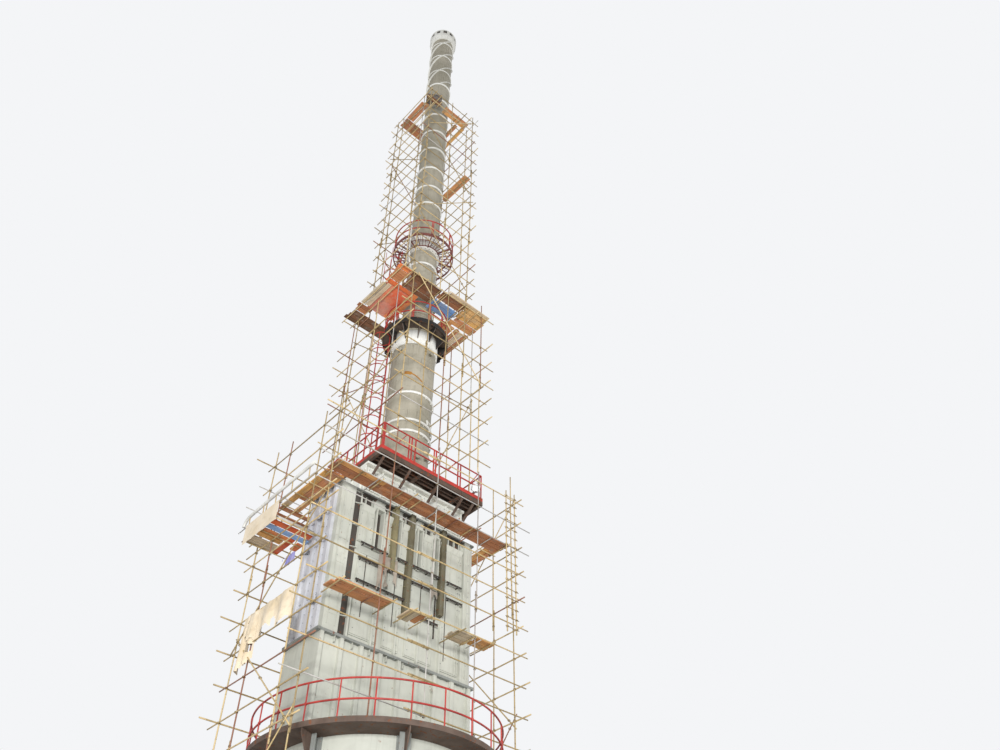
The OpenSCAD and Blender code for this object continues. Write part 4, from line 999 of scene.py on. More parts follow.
class Scaffold:
    """The whole pole scaffold with its decks."""

    WIDE = tuple(ledger_height(k) for k in range(10))
    TALL = tuple(ledger_height(k) for k in range(10, 17))
    LOW = tuple(0.4 + 2 * LIFT * k for k in range(6))
    MID_TOP = 14.64         # top of the middle deck
    HEAD_TOP = 22.76        # top of the deck at the slim tower's head
    STAGE_POLE = 8.51       # axis of the poles under the side stage
    INNER_Y = 0.657         # inner edge of the decks in front of the casing
    OUTER_Y = 0.977         # outer edge of the same
    END_Y = 1.12            # how far cross poles reach

    def build(self) -> None:
        """Builds every side, deck and ladder in turn."""
        for part in (*self.sides(), *self.decks(), PoleLadder()):
            part.build()

    def sides(self) -> list[LatticeSide]:
        """The twelve lattices from the base to the slim tower."""
        base_xs, tower_xs = (-0.9, 0.0, 0.9), (-0.9, -0.45, 0.0, 0.45, 0.9)
        base_ys, tower_ys = (-0.96, -0.5, 0.5, 0.96), (-0.68, 0.0, 0.68)
        short = self.LOW + tuple(z - POLE_D for z in self.WIDE)
        tower_short = tuple(z - POLE_D for z in self.TALL[1:])
        slim = tuple(cross_height(self.HEAD_TOP) - POLE_D - LIFT * k for k in range(16))
        slim_short = tuple(z - POLE_D for z in slim)
        mid_ledger = cross_height(self.MID_TOP) - POLE_D
        foot = self.MID_TOP - 0.003
        slants = (((-0.8, 14.62), (0.9, 12.58), 0.68), ((-0.25, 10.84), (0.96, 12.58), 0.2))
        sides = []
        for name, sign, seed in (("front", -1, 11), ("back", 1, 12)):
            front = sign < 0
            sides += [
                LatticeSide("scaffold_" + name, Axis.X, sign * 1.0, sign, base_xs, 5.3503, 10.45, self.WIDE,
                            (-2.33, 2.13), seed, 0.1, 0 if front else 3, (7, 8),
                            (0.9, 1.0, 0.98) if front else ()),
                LatticeSide("tower_" + name, Axis.X, sign * 1.0, sign, tower_xs, 10.4756, 14.9,
                            self.TALL + (mid_ledger,), (-1.28, 1.26), seed + 10, 0.1, 0 if front else 2,
                            (1,) if front else (), (), slants if front else ()),
                LatticeSide("slim_" + name, Axis.X, sign * 0.725, sign, (-0.725, 0.0, 0.725), foot, 22.91,
                            slim, (-0.95, 0.95), seed + 20, 0.09, 4)]
        for name, sign, plane, head, seed in (("left", -1, -1.95, 10.5, 41), ("right", 1, 1.75, 10.8, 42)):
            stage = (self.STAGE_POLE - POLE_D,) if sign < 0 else ()
            sides += [
                LatticeSide("scaffold_" + name, Axis.Y, plane, sign, base_ys, 0.0, head, short + stage,
                            (-1.28, 1.28), seed, 0.08, 5),
                LatticeSide("tower_" + name, Axis.Y, sign * 0.98, sign, tower_ys, 10.1003, 14.5, tower_short,
                            (-1.28, 1.28), seed + 10, 0.08, 2),
                LatticeSide("slim_" + name, Axis.Y, sign * 0.745, sign, (-0.4495, 0.4495), foot, 22.6,
                            slim_short, (-0.95, 0.95), seed + 20, 0.08)]
        return sides

    @staticmethod
    def _cross(xs: Sequence[float], low: float, high: float, height: float) -> tuple:
        """Poles across the scaffold at some X, from one Y to another."""
        return tuple(((x, low, height), (x, high, height)) for x in xs)

    def decks(self) -> list[PlankDeck]:
        """The five plank decks, from the flange to the head of the slim tower."""
        rise = POLE_R + CLEAR
        outer, inner, end_y = self.OUTER_Y, self.INNER_Y, self.END_Y
        wall = inner - 0.006
        z3, z7 = ledger_height(3) + POLE_D, ledger_height(7) + POLE_D
        mid, top, stage = cross_height(self.MID_TOP), cross_height(self.HEAD_TOP), self.STAGE_POLE
        flange_poles = self._cross((-1.56, -0.66, -0.28, 0.0, 0.62, 1.24), -end_y, -0.49, z3)
        casing_xs = (-1.81, -1.13, 1.61, 0.93, 0.24)
        casing_poles = (self._cross(casing_xs + (-0.44,), -end_y, -0.49, z7)
                        + self._cross(casing_xs, end_y, 0.49, z7))
        mid_poles = (self._cross((-1.14, -0.92, 0.78, 1.06), -end_y, end_y, mid)
                     + self._cross((-0.55,), -end_y, 0.0, mid))
        for x, signs in ((-0.52, (1,)), (0.0, (-1, 1)), (0.5, (-1, 1))):
            for sign in signs:
                mid_poles += self._cross((x,), sign * end_y, sign * 0.564, mid)
        top_poles = self._cross((-0.6, -0.42, 0.42, 0.6), -0.845, 0.845, top)
        stage_poles = tuple(((-2.3, y, stage), (-1.505, y, stage)) for y in (-0.03, 0.4, 0.83))
        stage_poles += self._cross((-2.262,), -0.12, 0.92, stage + POLE_D)
        stage_poles += self._cross((-2.262,), -end_y, end_y, ledger_height(6) + POLE_D)
        loose = mid + rise + 0.034
        return [
            PlankDeck("flange_deck", z3 + rise, (
                Strip(Axis.X, (-1.62, -outer), (-0.6, -inner), (0.5, 0.8), 0.1, 0.26),
                Strip(Axis.Y, (-0.33, -1.0), (-0.12, -inner), (0.97, 1.0)),
                Strip(Axis.Y, (-0.11, -1.0), (0.06, -inner), (0.55, 0.75)),
                Strip(Axis.X, (0.56, -outer), (0.95, -inner), (0.96, 1.0), 0.08, 0.3),
                Strip(Axis.X, (0.96, -outer), (1.3, -inner), (0.75, 0.87), 0.08, 0.3)), flange_poles, 61),
            PlankDeck("casing_deck", z7 + rise, (
                Strip(Axis.X, (-1.874, -outer), (1.674, -inner), (0.35, 0.78), 0.03, 0.36),
                Strip(Axis.X, (-1.874, inner), (-0.79, outer), (0.3, 0.65), 0.05, 0.4),
                Strip(Axis.X, (-0.33, inner), (1.674, outer), (0.3, 0.65), 0.05, 0.4),
                Strip(Axis.Y, (-1.874, -wall), (-1.51, wall), (0.45, 0.98), 0.05, 0.3),
                Strip(Axis.Y, (1.39, -wall), (1.674, wall), (0.6, 0.85), 0.05, 0.3)), casing_poles, 62),
            PlankDeck("mid_deck", mid + rise, (
                Strip(Axis.X, (-1.19, -outer), (-0.87, -0.86), (0.6, 1.0), face=ORANGE_BOARD),
                Strip(Axis.X, (-1.19, -0.855), (-0.87, -0.54), (0.45, 0.95)),
                Strip(Axis.X, (-1.19, -0.53), (-0.5, -0.405), (0.3, 0.7), face=ORANGE_BOARD),
                Strip(Axis.X, (-0.86, -outer), (-0.12, -0.54), (0.02, 0.4), 0.0, 0.3),
                Strip(Axis.X, (-0.11, -outer), (0.5, -0.74), (0.2, 0.5), 0.0, 0.28),
                Strip(Axis.X, (-0.11, -0.735), (0.5, -0.405), (0.05, 0.8), 0.0, 0.28, BLUE_BOARD),
                Strip(Axis.X, (0.51, -outer), (1.11, -0.63), (0.82, 0.92), 0.0, 0.3),
                Strip(Axis.X, (0.51, -0.62), (1.11, -0.405), (0.5, 0.98)),
                Strip(Axis.Y, (-0.495, -0.52), (-0.39, 0.39), (0.6, 1.0), face=ORANGE_BOARD),
                Strip(Axis.Y, (-0.6, 0.04), (-0.5, 0.39), (0.6, 1.0), face=ORANGE_BOARD),
                Strip(Axis.Y, (-1.19, -0.4), (-0.965, 0.39), (0.97, 1.0)),
                Strip(Axis.X, (-1.19, 0.63), (1.11, outer), (0.02, 0.4), 0.04, 0.3),
                Strip(Axis.X, (-0.38, 0.4), (1.11, 0.62), (0.2, 0.7)),
                Strip(Axis.X, (-1.19, 0.4), (-0.88, 0.62), (0.2, 0.5)),
                Strip(Axis.Y, (0.39, -0.395), (0.75, 0.39), (0.55, 0.8), 0.04),
                Strip(Axis.Y, (0.76, -0.395), (1.11, 0.39), (0.3, 0.98), 0.04)), mid_poles, 63,
                (((0.05, -1.02, loose), (1.08, -1.0, loose), 0.97),
                 ((0.35, -0.93, loose), (1.1, -0.9, loose), 0.88))),
            PlankDeck("top_deck", top + rise, (
                Strip(Axis.X, (-0.702, -0.57), (-0.25, -0.39), (0.1, 0.4), 0.0, 0.2),
                Strip(Axis.X, (-0.12, -0.6), (0.702, -0.39), (0.6, 0.85), 0.0, 0.3),
                Strip(Axis.X, (-0.702, 0.39), (0.702, 0.702), (0.3, 0.6), 0.05, 0.3),
                Strip(Axis.Y, (-0.702, -0.3), (-0.46, 0.385), (0.4, 0.8)),
                Strip(Axis.Y, (0.39, -0.385), (0.702, 0.385), (0.6, 0.85), 0.05)), top_poles, 64),
            PlankDeck("side_stage", stage + rise, (
                Strip(Axis.X, (-2.235, 0.05), (-1.505, 0.19), (0.3, 0.8), face=ORANGE_BOARD),
                Strip(Axis.X, (-2.235, 0.195), (-1.505, 0.325), (0.3, 1.0), face=BLUE_BOARD),
                Strip(Axis.X, (-2.235, 0.33), (-1.78, 0.45), (0.5, 1.0), face=ORANGE_BOARD),
                Strip(Axis.X, (-2.235, 0.455), (-1.78, 0.62), (0.8, 0.87)),
                Strip(Axis.X, (-2.235, 0.625), (-1.78, 0.92), (0.97, 1.0)),
                Strip(Axis.Y, (-1.77, 0.33), (-1.63, 0.86), (0.3, 0.8), face=ORANGE_BOARD),
                Strip(Axis.Y, (-1.62, 0.33), (-1.505, 0.6), (0.5, 0.9), face=ORANGE_BOARD)), stage_poles, 65)]


@dataclass(frozen=True)
class ClothSheet:
    """A sheet that hangs from a pole or is stretched over an opening, settled by simulation.

    It starts flat, with one corner and the directions across and down. Gather and ripples give it slack.
    """

    SETTINGS = {"quality": 6, "mass": 0.25, "tension_stiffness": 25, "compression_stiffness": 25,
                "shear_stiffness": 12, "bending_stiffness": 1.2, "air_damping": 3,
                "vertex_group_mass": "eyelets"}
    SKIN = 0.004            # gap that the simulation keeps between cloth and rods
    MOST_EYELETS = 9        # eyelets along the top of a hung sheet
    TAUT = 0.965            # share of its length that a stretched sheet spans
    HOLE = (0.05, 0.11)     # half width and half height of a torn hole

    name: str
    corner: tuple
    flat: tuple
    finish: Finish
    rests_on: str
    seed: int
    node: Optional[str] = None
    hold: Hold = Hold.HUNG
    across: tuple = (0, 1, 0)
    down: tuple = (0, 0, -1)
    slot: str = "cream_sheet"
    gather: float = 0.985
    torn: float = 0.0
    cell: float = 0.02
    rods: tuple = ()
    frames: int = 16
    ripples: float = 0.012
    fold: float = 0.17

    def build(self) -> bpy.types.Object:
        mesh, kept = self._cut()
        obj = link(self.name, mesh)
        mesh.materials.append(self.finish.material())
        self._settle(obj)
        mesh = obj.data
        for polygon in mesh.polygons:
            polygon.use_smooth = True
        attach(obj, BODY)
        if self.node:
            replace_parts(obj, self.node)
        LOG.info("%s: %d faces of cloth", self.name, len(mesh.polygons))
        return obj

    def _cut(self) -> tuple[bpy.types.Mesh, float]:
        """The flat sheet with ragged edges and holes, and the share of it that is left."""
        rng = np.random.default_rng(self.seed)
        wide, long = self.flat
        stretched = self.hold is Hold.STRETCHED
        nx, ny = (max(6, round(size / self.cell)) for size in self.flat)
        u, v = np.meshgrid(np.linspace(0, wide, nx + 1), np.linspace(0, long, ny + 1))
        across, down = np.array(self.across, float), np.array(self.down, float)
        ripple = self.ripples * np.sin(u * 2 * math.pi / self.fold + rng.uniform(0, 6)) * (0.3 + v / long)
        ripple += rng.normal(0, 0.002, u.shape)
        if stretched:
            ripple *= 0.3
        grid = (np.array(self.corner) + np.multiply.outer(u * self.gather, across)
                + np.multiply.outer(v * (self.TAUT if stretched else 1.0), down)
                + np.multiply.outer(ripple, np.cross(across, down)))
        index = np.arange((nx + 1) * (ny + 1)).reshape(ny + 1, nx + 1)
        quads = np.stack([index[:-1, :-1], index[:-1, 1:], index[1:, 1:], index[1:, :-1]], -1).reshape(-1, 4)
        middle_u, middle_v = ((w[:-1, :-1] + w[1:, 1:]).ravel() / 2 for w in (u, v))
        keep = middle_v < long * (1 - self.torn * (0.35 + 0.3 * np.sin(middle_u * 9.1 + self.seed)
                                                   + 0.35 * np.sin(middle_u * 23.7 + 2 * self.seed)))
        for _ in range(int(6 * self.torn)):
            hole = rng.uniform((0.1 * wide, 0.25 * long), (0.9 * wide, 0.8 * long))
            across, along = (middle_u - hole[0]) / self.HOLE[0], (middle_v - hole[1]) / self.HOLE[1]
            keep &= across ** 2 + along ** 2 > 1
        mesh = bpy.data.meshes.new(self.name)
        mesh.from_pydata(grid.reshape(-1, 3).tolist(), [], quads[keep].tolist())
        keep_grain(mesh, np.stack([u.ravel(), v.ravel(), np.full(u.size, 0.1 * self.seed)], -1))
        pins = [*index[0][::max(1, nx // self.MOST_EYELETS)], index[0][-1]]
        if stretched:
            pins += [*index[-1], *index[:, 0], *index[:, -1]]
        self._pin(mesh, pins)
        return mesh, float(keep.mean()) if self.torn else 1.0

    @staticmethod
    def _pin(mesh: bpy.types.Mesh, pins: Sequence[int]) -> None:
        """Marks the points that are held, and drops the points that no face is left on."""
        work = bmesh.new()
        work.from_mesh(mesh)
        group = work.verts.layers.deform.verify()
        work.verts.ensure_lookup_table()
        for pin in pins:
            work.verts[int(pin)][group][0] = 1.0
        bmesh.ops.delete(work, geom=[vert for vert in work.verts if not vert.link_faces], context="VERTS")
        work.to_mesh(mesh)
        work.free()

    def _settle(self, obj: bpy.types.Object) -> None:
        """Runs the cloth simulation over the rods and keeps its last shape."""
        obj.vertex_groups.new(name="eyelets")
        rods = self._rods()
        cloth = obj.modifiers.new("settle", "CLOTH")
        for key, value in self.SETTINGS.items():
            setattr(cloth.settings, key, value)
        cloth.collision_settings.distance_min = self.SKIN
        cloth.collision_settings.use_self_collision = False
        cloth.point_cache.frame_end = self.frames
        for number in range(1, self.frames + 1):
            bpy.context.scene.frame_set(number)
        settled = bpy.data.meshes.new_from_object(obj.evaluated_get(bpy.context.evaluated_depsgraph_get()))
        obj.modifiers.clear()
        obj.data = settled
        for rod in rods:
            bpy.data.objects.remove(rod)
        bpy.context.scene.frame_set(1)

    def _rods(self) -> list[bpy.types.Object]:
        """Round rods that the cloth falls on, taken away afterwards."""
        made = []
        for start, end in self.rods:
            work = PieceMesh()
            work.sweep(np.linspace(start, end, 6), POLE_R, 10)
            rod = link("rod", work.mesh("rod"))
            rod.modifiers.new("collide", "COLLISION")
            rod.collision.thickness_outer = self.SKIN
            made.append(rod)
        return made


class Sheets:
    """Every tarpaulin and torn sheet on the scaffold."""

    TARP = {"slot": "orange_tarp", "rests_on": "boards_mid_deck", "across": (1, 0, 0), "down": (0, 1, 0),
            "hold": Hold.STRETCHED}
    TORN = {"finish": CREAM_SHEET, "rests_on": "bamboo_scaffold_left", "cell": 0.022, "frames": 30}
    RAG = {"finish": RAG_SHEET, "rests_on": "casing_angles", "across": (1, 0, 0), "gather": 0.85, "torn": 0.5,
           "frames": 24}

    def build(self) -> None:
        """Builds them one after another."""
        mid = cross_height(Scaffold.MID_TOP)
        laid = mid + POLE_R + BOARD_T + 0.006
        rods = tuple(((x, -1.0, mid), (x, 1.0, mid)) for x in (-1.14, -0.92, -0.55))
        outside = -1.95 - POLE_D - POLE_R
        side_rod = ledger_height(3) - POLE_D
        stage_rod = ledger_height(6) + POLE_D + POLE_R
        for sheet in (
                ClothSheet("orange_tarpaulin", (-1.1, -0.43, laid), (0.63, 0.5), ORANGE_TARP, seed=3,
                           node="mid_tarp", rods=rods, **self.TARP),
                ClothSheet("salmon_tarpaulin", (-1.0, 0.03, laid + 0.003), (0.43, 0.4), SALMON_TARP, seed=6,
                           rods=rods, **self.TARP),
                ClothSheet("stage_sheet", (-2.262 - POLE_R - 0.004, -0.1, stage_rod), (0.97, 0.37),
                           CREAM_SHEET, "boards_side_stage", 7, "side_sheet", Hold.STRETCHED, ripples=0.006),
                ClothSheet("torn_sheet_left", (outside - 0.006, -0.5, side_rod), (1.35, 0.52), seed=9,
                           node="torn_sheet", gather=0.92, torn=0.3, ripples=0.05, fold=0.47, **self.TORN),
                ClothSheet("torn_sheet_tail", (outside - 0.012, 0.4, side_rod - 0.02), (0.46, 0.85), seed=14,
                           gather=0.8, torn=0.25, ripples=0.045, fold=0.22, **self.TORN),
                ClothSheet("purple_cloth", (-1.55, 0.5, Scaffold.STAGE_POLE - POLE_R - 0.006), (0.42, 0.2),
                           PURPLE_CLOTH, "boards_side_stage", 21, gather=0.85, torn=0.4, cell=0.018,
                           frames=24, ripples=0.02),
                ClothSheet("hanging_rag_0", (-0.63, -0.478, 8.38), (0.42, 0.62), seed=12, **self.RAG),
                ClothSheet("hanging_rag_1", (0.4, -0.478, 8.16), (0.17, 0.46), seed=13, **self.RAG)):
            sheet.build()


@dataclass(frozen=True)
class Firebox:
    """The round radiant section with its columns and burners."""

    radius: float = 1.4
    columns: int = 8
    doors: int = 12
    door_heights: tuple = (4.2, 2.05)
    bands: tuple = (1.75, 2.85, 3.95, 4.9)
    welds: tuple = (2.3, 3.4, 4.45)

    def build(self) -> None:
        """Dresses the CAD nodes and adds bands, doors, seams and bolts."""
        CASING_PAINT.dress("firebox_shell", "firebox_roof")
        GREY_PAINT.dress("columns", "firebox_floor")
        IRON.dress("burners")
        work = PieceMesh(CASING_PAINT, GREY_PAINT, ZINC)
        for height in self.bands:
            work.hoop(self.radius - 0.001, self.radius + 0.03, height - 0.02, height + 0.02)
        for height in self.welds:
            work.bead(self.radius, height, 0.004)
        for number, (out, side) in enumerate(around(self.doors, 7.5)):
            face = out * (self.radius - 0.004) + AXIS_Z * self.door_heights[number % 2]
            self._door(work, face, out, side)
        for out, side in around(self.columns, 22.5):
            for radial in (0.2, -0.05):
                for lateral in (-0.12, 0.12):
                    foot = out * (self.radius + radial) + side * lateral + AXIS_Z * 0.016
                    work.bolt(foot, AXIS_Z, 0.014, ZINC)
        work.piece("firebox_fittings", "casing_paint")

    @staticmethod
    def _door(work: PieceMesh, face: np.ndarray, out: np.ndarray, side: np.ndarray) -> None:
        """A peep door in its frame, with a handle and two hinge bolts."""
        work.bar(face, face + out * 0.05, AXIS_Z, 0.15, 0.21, chamfer=0.004)
        work.bar(face + out * 0.05, face + out * 0.075, AXIS_Z, 0.12, 0.18, GREY_PAINT, chamfer=0.006)
        handle = [face + out * reach + side * place + AXIS_Z * rise
                  for reach, place, rise in ((0.07, 0.04, -0.03), (0.11, 0.05, 0), (0.12, 0.06, 0.03))]
        work.sweep(np.array(handle), 0.006, 8, ZINC)
        for rise in (-0.07, 0.07):
            work.bolt(face + out * 0.05 - side * 0.068 + AXIS_Z * rise, out, 0.007, ZINC)


@dataclass(frozen=True)
class RingPlatform:
    """The ring floor round the firebox with its red handrail."""

    rail_radius: float = 1.757
    floor: float = 5.35
    posts: int = 24
    bars: int = 150
    bar_from: float = 1.44
    bar_length: float = 0.31
    hatch: float = 0.995     # bars that point nearer to Y than this cosine would cross the ladder's hatch

    def build(self) -> None:
        """Dresses the CAD nodes and adds post feet and floor bars."""
        RING_PRIMER.dress("ring_platform")
        RED_ENAMEL.dress("ring_handrail", "ring_ladder")
        work = PieceMesh(RED_ENAMEL, ZINC, RING_PRIMER)
        for out, _ in around(self.posts, 180 / self.posts):
            foot = out * self.rail_radius + AXIS_Z * (self.floor + CLEAR)
            work.bar(foot - out * 0.012, foot - out * 0.07, AXIS_Z, 0.05, 0.008)
            work.bolt(foot - out * 0.055 + AXIS_Z * 0.004, AXIS_Z, 0.007, ZINC)
            work.collar(foot + AXIS_Z * KNEE_RAIL, out)
        for out, _ in around(self.bars, 180 / self.bars):
            if out[1] < self.hatch:
                start = out * self.bar_from + AXIS_Z * (self.floor + 0.004)
                work.bar(start, start + out * self.bar_length, AXIS_Z, 0.006, 0.007, RING_PRIMER,
                         chamfer=0.001)
        work.piece("ring_platform_fittings", "platform_steel")


@dataclass(frozen=True)
class Casing:
    """The convection casing: flange, ribbed walls, slots, columns and angles.

    Spots on the long walls are given by X, distance out of the wall and height, and most X by the share of
    the wall between its end columns. The back wall is the front one turned half round.
    """

    middle: float = -0.06
    half: float = 1.375
    depth: float = 0.39
    low: float = 6.855
    high: float = 9.39
    flange_t: float = 0.04
    bolt_gap: float = 0.11
    wall_left: float = -1.0347
    wall_width: float = 2.1494
    slot: tuple = (-1.17, -1.037)
    recesses: tuple = ((0.144, 0.201), (0.333, 0.368), (0.535, 0.571), (0.703, 0.734))
    recess_z: tuple = (8.515, 9.161)
    panels: tuple = ((0.004, 0.13), (0.215, 0.32), (0.382, 0.52), (0.585, 0.69), (0.748, 0.99))
    panel_z: tuple = (8.49, 9.15)
    panel_out: float = 0.0265
    low_panels: tuple = ((0.03, 0.26), (0.3, 0.44), (0.49, 0.73), (0.8, 0.97))
    low_panel_z: tuple = (6.95, 8.31)
    low_panel_out: float = 0.0173
    lintel_z: tuple = (9.212, 9.339)
    seams: tuple = ((-0.82, 7.25, 8.3), (-0.25, 7.3, 8.4), (0.26, 7.0, 8.3), (0.56, 7.4, 8.1),
                    (0.77, 7.1, 8.3))
    end_columns: tuple = ((-1.41, -1.2, 0.054), (0.96, 1.07, 0.026), (1.13, 1.22, 0.054))
    columns: tuple = ((0.29, 8.1985, OLIVE_PAINT), (0.447, 7.59, DARK_OLIVE_PAINT),
                      (0.76, 7.793, DARK_OLIVE_PAINT))
    column_share: float = 0.036
    column_out: float = 0.092
    shelves: tuple = ((-0.98, -0.46, 8.45), (-0.28, 0.6, 8.46), (0.74, 1.06, 8.45), (-1.0, -0.06, 8.18),
                      (0.02, 0.6, 8.17), (0.74, 1.08, 8.16), (-1.0, -0.08, 7.8), (0.04, 0.6, 7.62))
    shelf_out: float = 0.072

    def build(self) -> None:
        """Dresses the CAD nodes and adds what is bolted and welded to the walls."""
        CASING_PAINT.dress("lower_casing", "casing_front", "casing_back", "corner_posts")
        END_PAINT.dress("casing_left", "casing_right")
        GREY_PAINT.dress("bolted_flange", "casing_roof")
        for name, slot_name, paints, side_work in (
                ("flange_bolts", "grey_steel", (CASING_PAINT, ZINC), self._flange),
                ("casing_slots", "casing_paint", (DARK_AND_PAINTED_SHADE, CASING_PAINT), self._slots),
                ("casing_box_columns", "grey_steel", (OLIVE_PAINT, ZINC, DARK_OLIVE_PAINT), self._columns),
                ("casing_angles", "casing_paint", (CASING_PAINT, DARK_AND_PAINTED_SHADE, ZINC), self._wall),
                ("casing_end_covers", "casing_paint", (END_PAINT, ZINC), self._end)):
            work = PieceMesh(*paints)
            for side in (-1, 1):
                side_work(work, side)
            work.piece(name, slot_name)

    def _spot(self, side: int, place: float, out: float, height: float) -> np.ndarray:
        """A point by its X on the front wall, seen turned half round on the back wall."""
        if side < 0:
            return point(place, -self.depth - out, height)
        return point(2 * self.middle - place, self.depth + out, height)

    def _place(self, share: float) -> float:
        """X on the front wall by its share of the wall between the end columns."""
        return self.wall_left + share * self.wall_width

    def _plate(self, work: PieceMesh, side: int, start: tuple, end: tuple, finish: Optional[Finish] = None,
               chamfer: float = 0.003) -> None:
        """A block between two corners, each given by X, distance out of the wall and height."""
        work.block(self._spot(side, *start), self._spot(side, *end), finish, chamfer)

    def _flange(self, work: PieceMesh, side: int) -> None:
        """Bolts above and below one long and one short edge of the flange, and gussets under it."""
        reach_x, reach_y = self.half + 0.03, self.depth + 0.03
        spots = [(place, side * reach_y) for place in np.arange(-reach_x, reach_x + 0.01, self.bolt_gap)]
        spots += [(side * reach_x, place) for place in np.arange(self.bolt_gap - reach_y, reach_y - 0.05,
                                                                 self.bolt_gap)]
        for x, y in spots:
            spot = point(self.middle + x, y, self.low)
            work.bolt(spot, AXIS_Z, 0.009, ZINC)
            work.bolt(spot - AXIS_Z * self.flange_t, -AXIS_Z, 0.009, ZINC)
        for place in np.arange(-1.2, 1.21, 0.3):
            foot = point(self.middle + place + 0.07, side * (self.depth + 0.002),
                         self.low - self.flange_t - 0.002)
            work.bar(foot, foot - AXIS_Z * 0.09, AXIS_Y * side, 0.008, 0.1)

    def _slots(self, work: PieceMesh, side: int) -> None:
        """Dark backs of the deep slot and of the recesses, painted shade inside them, with sills and lids."""
        foot, head = self.recess_z
        # The back of the deep slot is a dark plate: painted shade inside the slot.
        self._plate(work, side, (self.slot[0], -0.002, self.low + 0.02),
                    (self.slot[1], 0.006, self.high - 0.03))
        for start, end in self.recesses:
            left, right = self._place(start), self._place(end)
            # The back of each recess is a dark plate: painted shade inside the recess.
            self._plate(work, side, (left, -0.044, foot), (right, -0.036, head), DARK_AND_PAINTED_SHADE, 0.001)
            self._plate(work, side, (left - 0.03, 0.0, head + 0.005), (right + 0.03, 0.08, head + 0.02),
                        CASING_PAINT)
            sill = [self._spot(side, (left + right) / 2, out, foot - 0.06 + rise)
                    for out, rise in ((0.04, -0.03), (-0.03, 0.07))]
            work.bar(*sill, AXIS_Y * side, right - left, 0.012, CASING_PAINT)

    def _columns(self, work: PieceMesh, side: int) -> None:
        """Olive plates round the box columns, with seams, lugs and a capped foot."""
        skin, out = 0.002, self.column_out
        wide = self.column_share * self.wall_width
        for share, low, paint in self.columns:
            left = self._place(share)
            self._plate(work, side, (left - skin, 0.0, low - skin),
                        (left + wide + skin, out + skin, self.high - 0.001), paint, 0.005)
            for edge in (left - 0.003, left + wide - 0.007):
                self._plate(work, side, (edge, out, low + 0.01), (edge + 0.01, out + 0.012, self.high - 0.01),
                            paint, 0.002)
            for height in np.arange(low + 0.1, self.high - 0.05, 0.34):
                self._plate(work, side, (left - 0.018, 0.02, height),
                            (left + wide + 0.018, 0.06, height + 0.012), OLIVE_PAINT, 0.002)
                for shift in (0.012, wide - 0.012):
                    work.bolt(self._spot(side, left + shift, out + 0.011, height + 0.05), AXIS_Y * side,
                              0.006, ZINC)

    def _wall(self, work: PieceMesh, side: int) -> None:
        """Lintels, level angles on brackets, panel frames and seams on one long wall."""
        front = AXIS_Y * side
        for start, end in self.panels:
            self._lintel(work, side, self._place(start) + 0.015, self._place(end) - 0.015)
        for start, end, height in self.shelves:
            first, last = (self._spot(side, x, self.shelf_out, height) for x in (start, end))
            work.bar(first, last, AXIS_Z, 0.03, 0.006, DARK_AND_PAINTED_SHADE)
            work.bar(first - AXIS_Z * 0.014, last - AXIS_Z * 0.014, AXIS_Z, 0.005, 0.03, DARK_AND_PAINTED_SHADE)
            for place in np.arange(start + 0.06, end, 0.19):
                root, tip = (self._spot(side, place, out, height - 0.012) for out in (0.0, 0.07))
                work.bar(root, tip, AXIS_Z, 0.012, 0.02, DARK_AND_PAINTED_SHADE)
                work.bolt(self._spot(side, place, 0.074, height - 0.018), front, 0.006, ZINC)
        for rows, out, heights in ((self.panels, self.panel_out, self.panel_z),
                                   (self.low_panels, self.low_panel_out, self.low_panel_z)):
            for start, end in rows:
                self._frame(work, side, (self._place(start), self._place(end)), out, heights)
        for start, end in self.panels:
            self._lip(work, side, self._place(start), self._place(end))
        for place, low, high in self.seams:
            self._plate(work, side, (place, 0.0, low), (place + 0.012, 0.024, high), DARK_AND_PAINTED_SHADE, 0.001)
        for left, right, out in self.end_columns:
            for height in np.arange(self.low + 0.25, self.high - 0.2, 0.42):
                self._plate(work, side, (left + 0.02, out - 0.002, height),
                            (right - 0.02, out + 0.006, height + 0.012))
            for place in (left + 0.03, right - 0.04):
                self._plate(work, side, (place, out - 0.002, self.low + 0.08),
                            (place + 0.01, out + 0.012, self.high - 0.08))
                for height in np.arange(self.low + 0.3, self.high - 0.2, 0.3):
                    work.bolt(self._spot(side, place + 0.028, out, height), front, 0.0055, ZINC)

    def _lintel(self, work: PieceMesh, side: int, start: float, end: float) -> None:
        """A notch near the head of the wall, under a lid and with small ribs; its back, roof and lid are dark
        plates, painted shade in and under the notch.
        """
        low, high = self.lintel_z
        # Back, lid and roof of the notch in the dark finish: painted shade in and under it.
        for first, last, chamfer in (
                ((start + 0.01, -0.044, low), (end - 0.01, -0.037, high), 0.001),
                ((start - 0.01, 0.0, high), (end + 0.01, 0.07, high + 0.012), 0.002),
                ((start + 0.01, -0.037, high - 0.004), (end - 0.01, 0.0, high), 0.001)):
            self._plate(work, side, first, last, DARK_AND_PAINTED_SHADE, chamfer)
        for place in np.arange(start + 0.07, end - 0.03, 0.13):
            self._plate(work, side, (place, -0.036, low), (place + 0.012, 0.01, high), CASING_PAINT, 0.002)

    def _frame(self, work: PieceMesh, side: int, edges: tuple, out: float, heights: tuple) -> None:
        """A frame of flat bars round a raised panel, with two rows of bolts."""
        (left, right), (low, high) = edges, heights
        for edge in (left + 0.006, right - 0.02):
            self._plate(work, side, (edge, out - 0.002, low + 0.01), (edge + 0.014, out + 0.012, high - 0.01))
        for height in (low, high - 0.016):
            self._plate(work, side, (left + 0.006, out - 0.002, height),
                        (right - 0.006, out + 0.012, height + 0.014))
        for height in np.arange(low + 0.1, high - 0.05, 0.2):
            for share in (0.12, 0.88):
                work.bolt(self._spot(side, left + share * (right - left), out, height), AXIS_Y * side, 0.006,
                          ZINC)

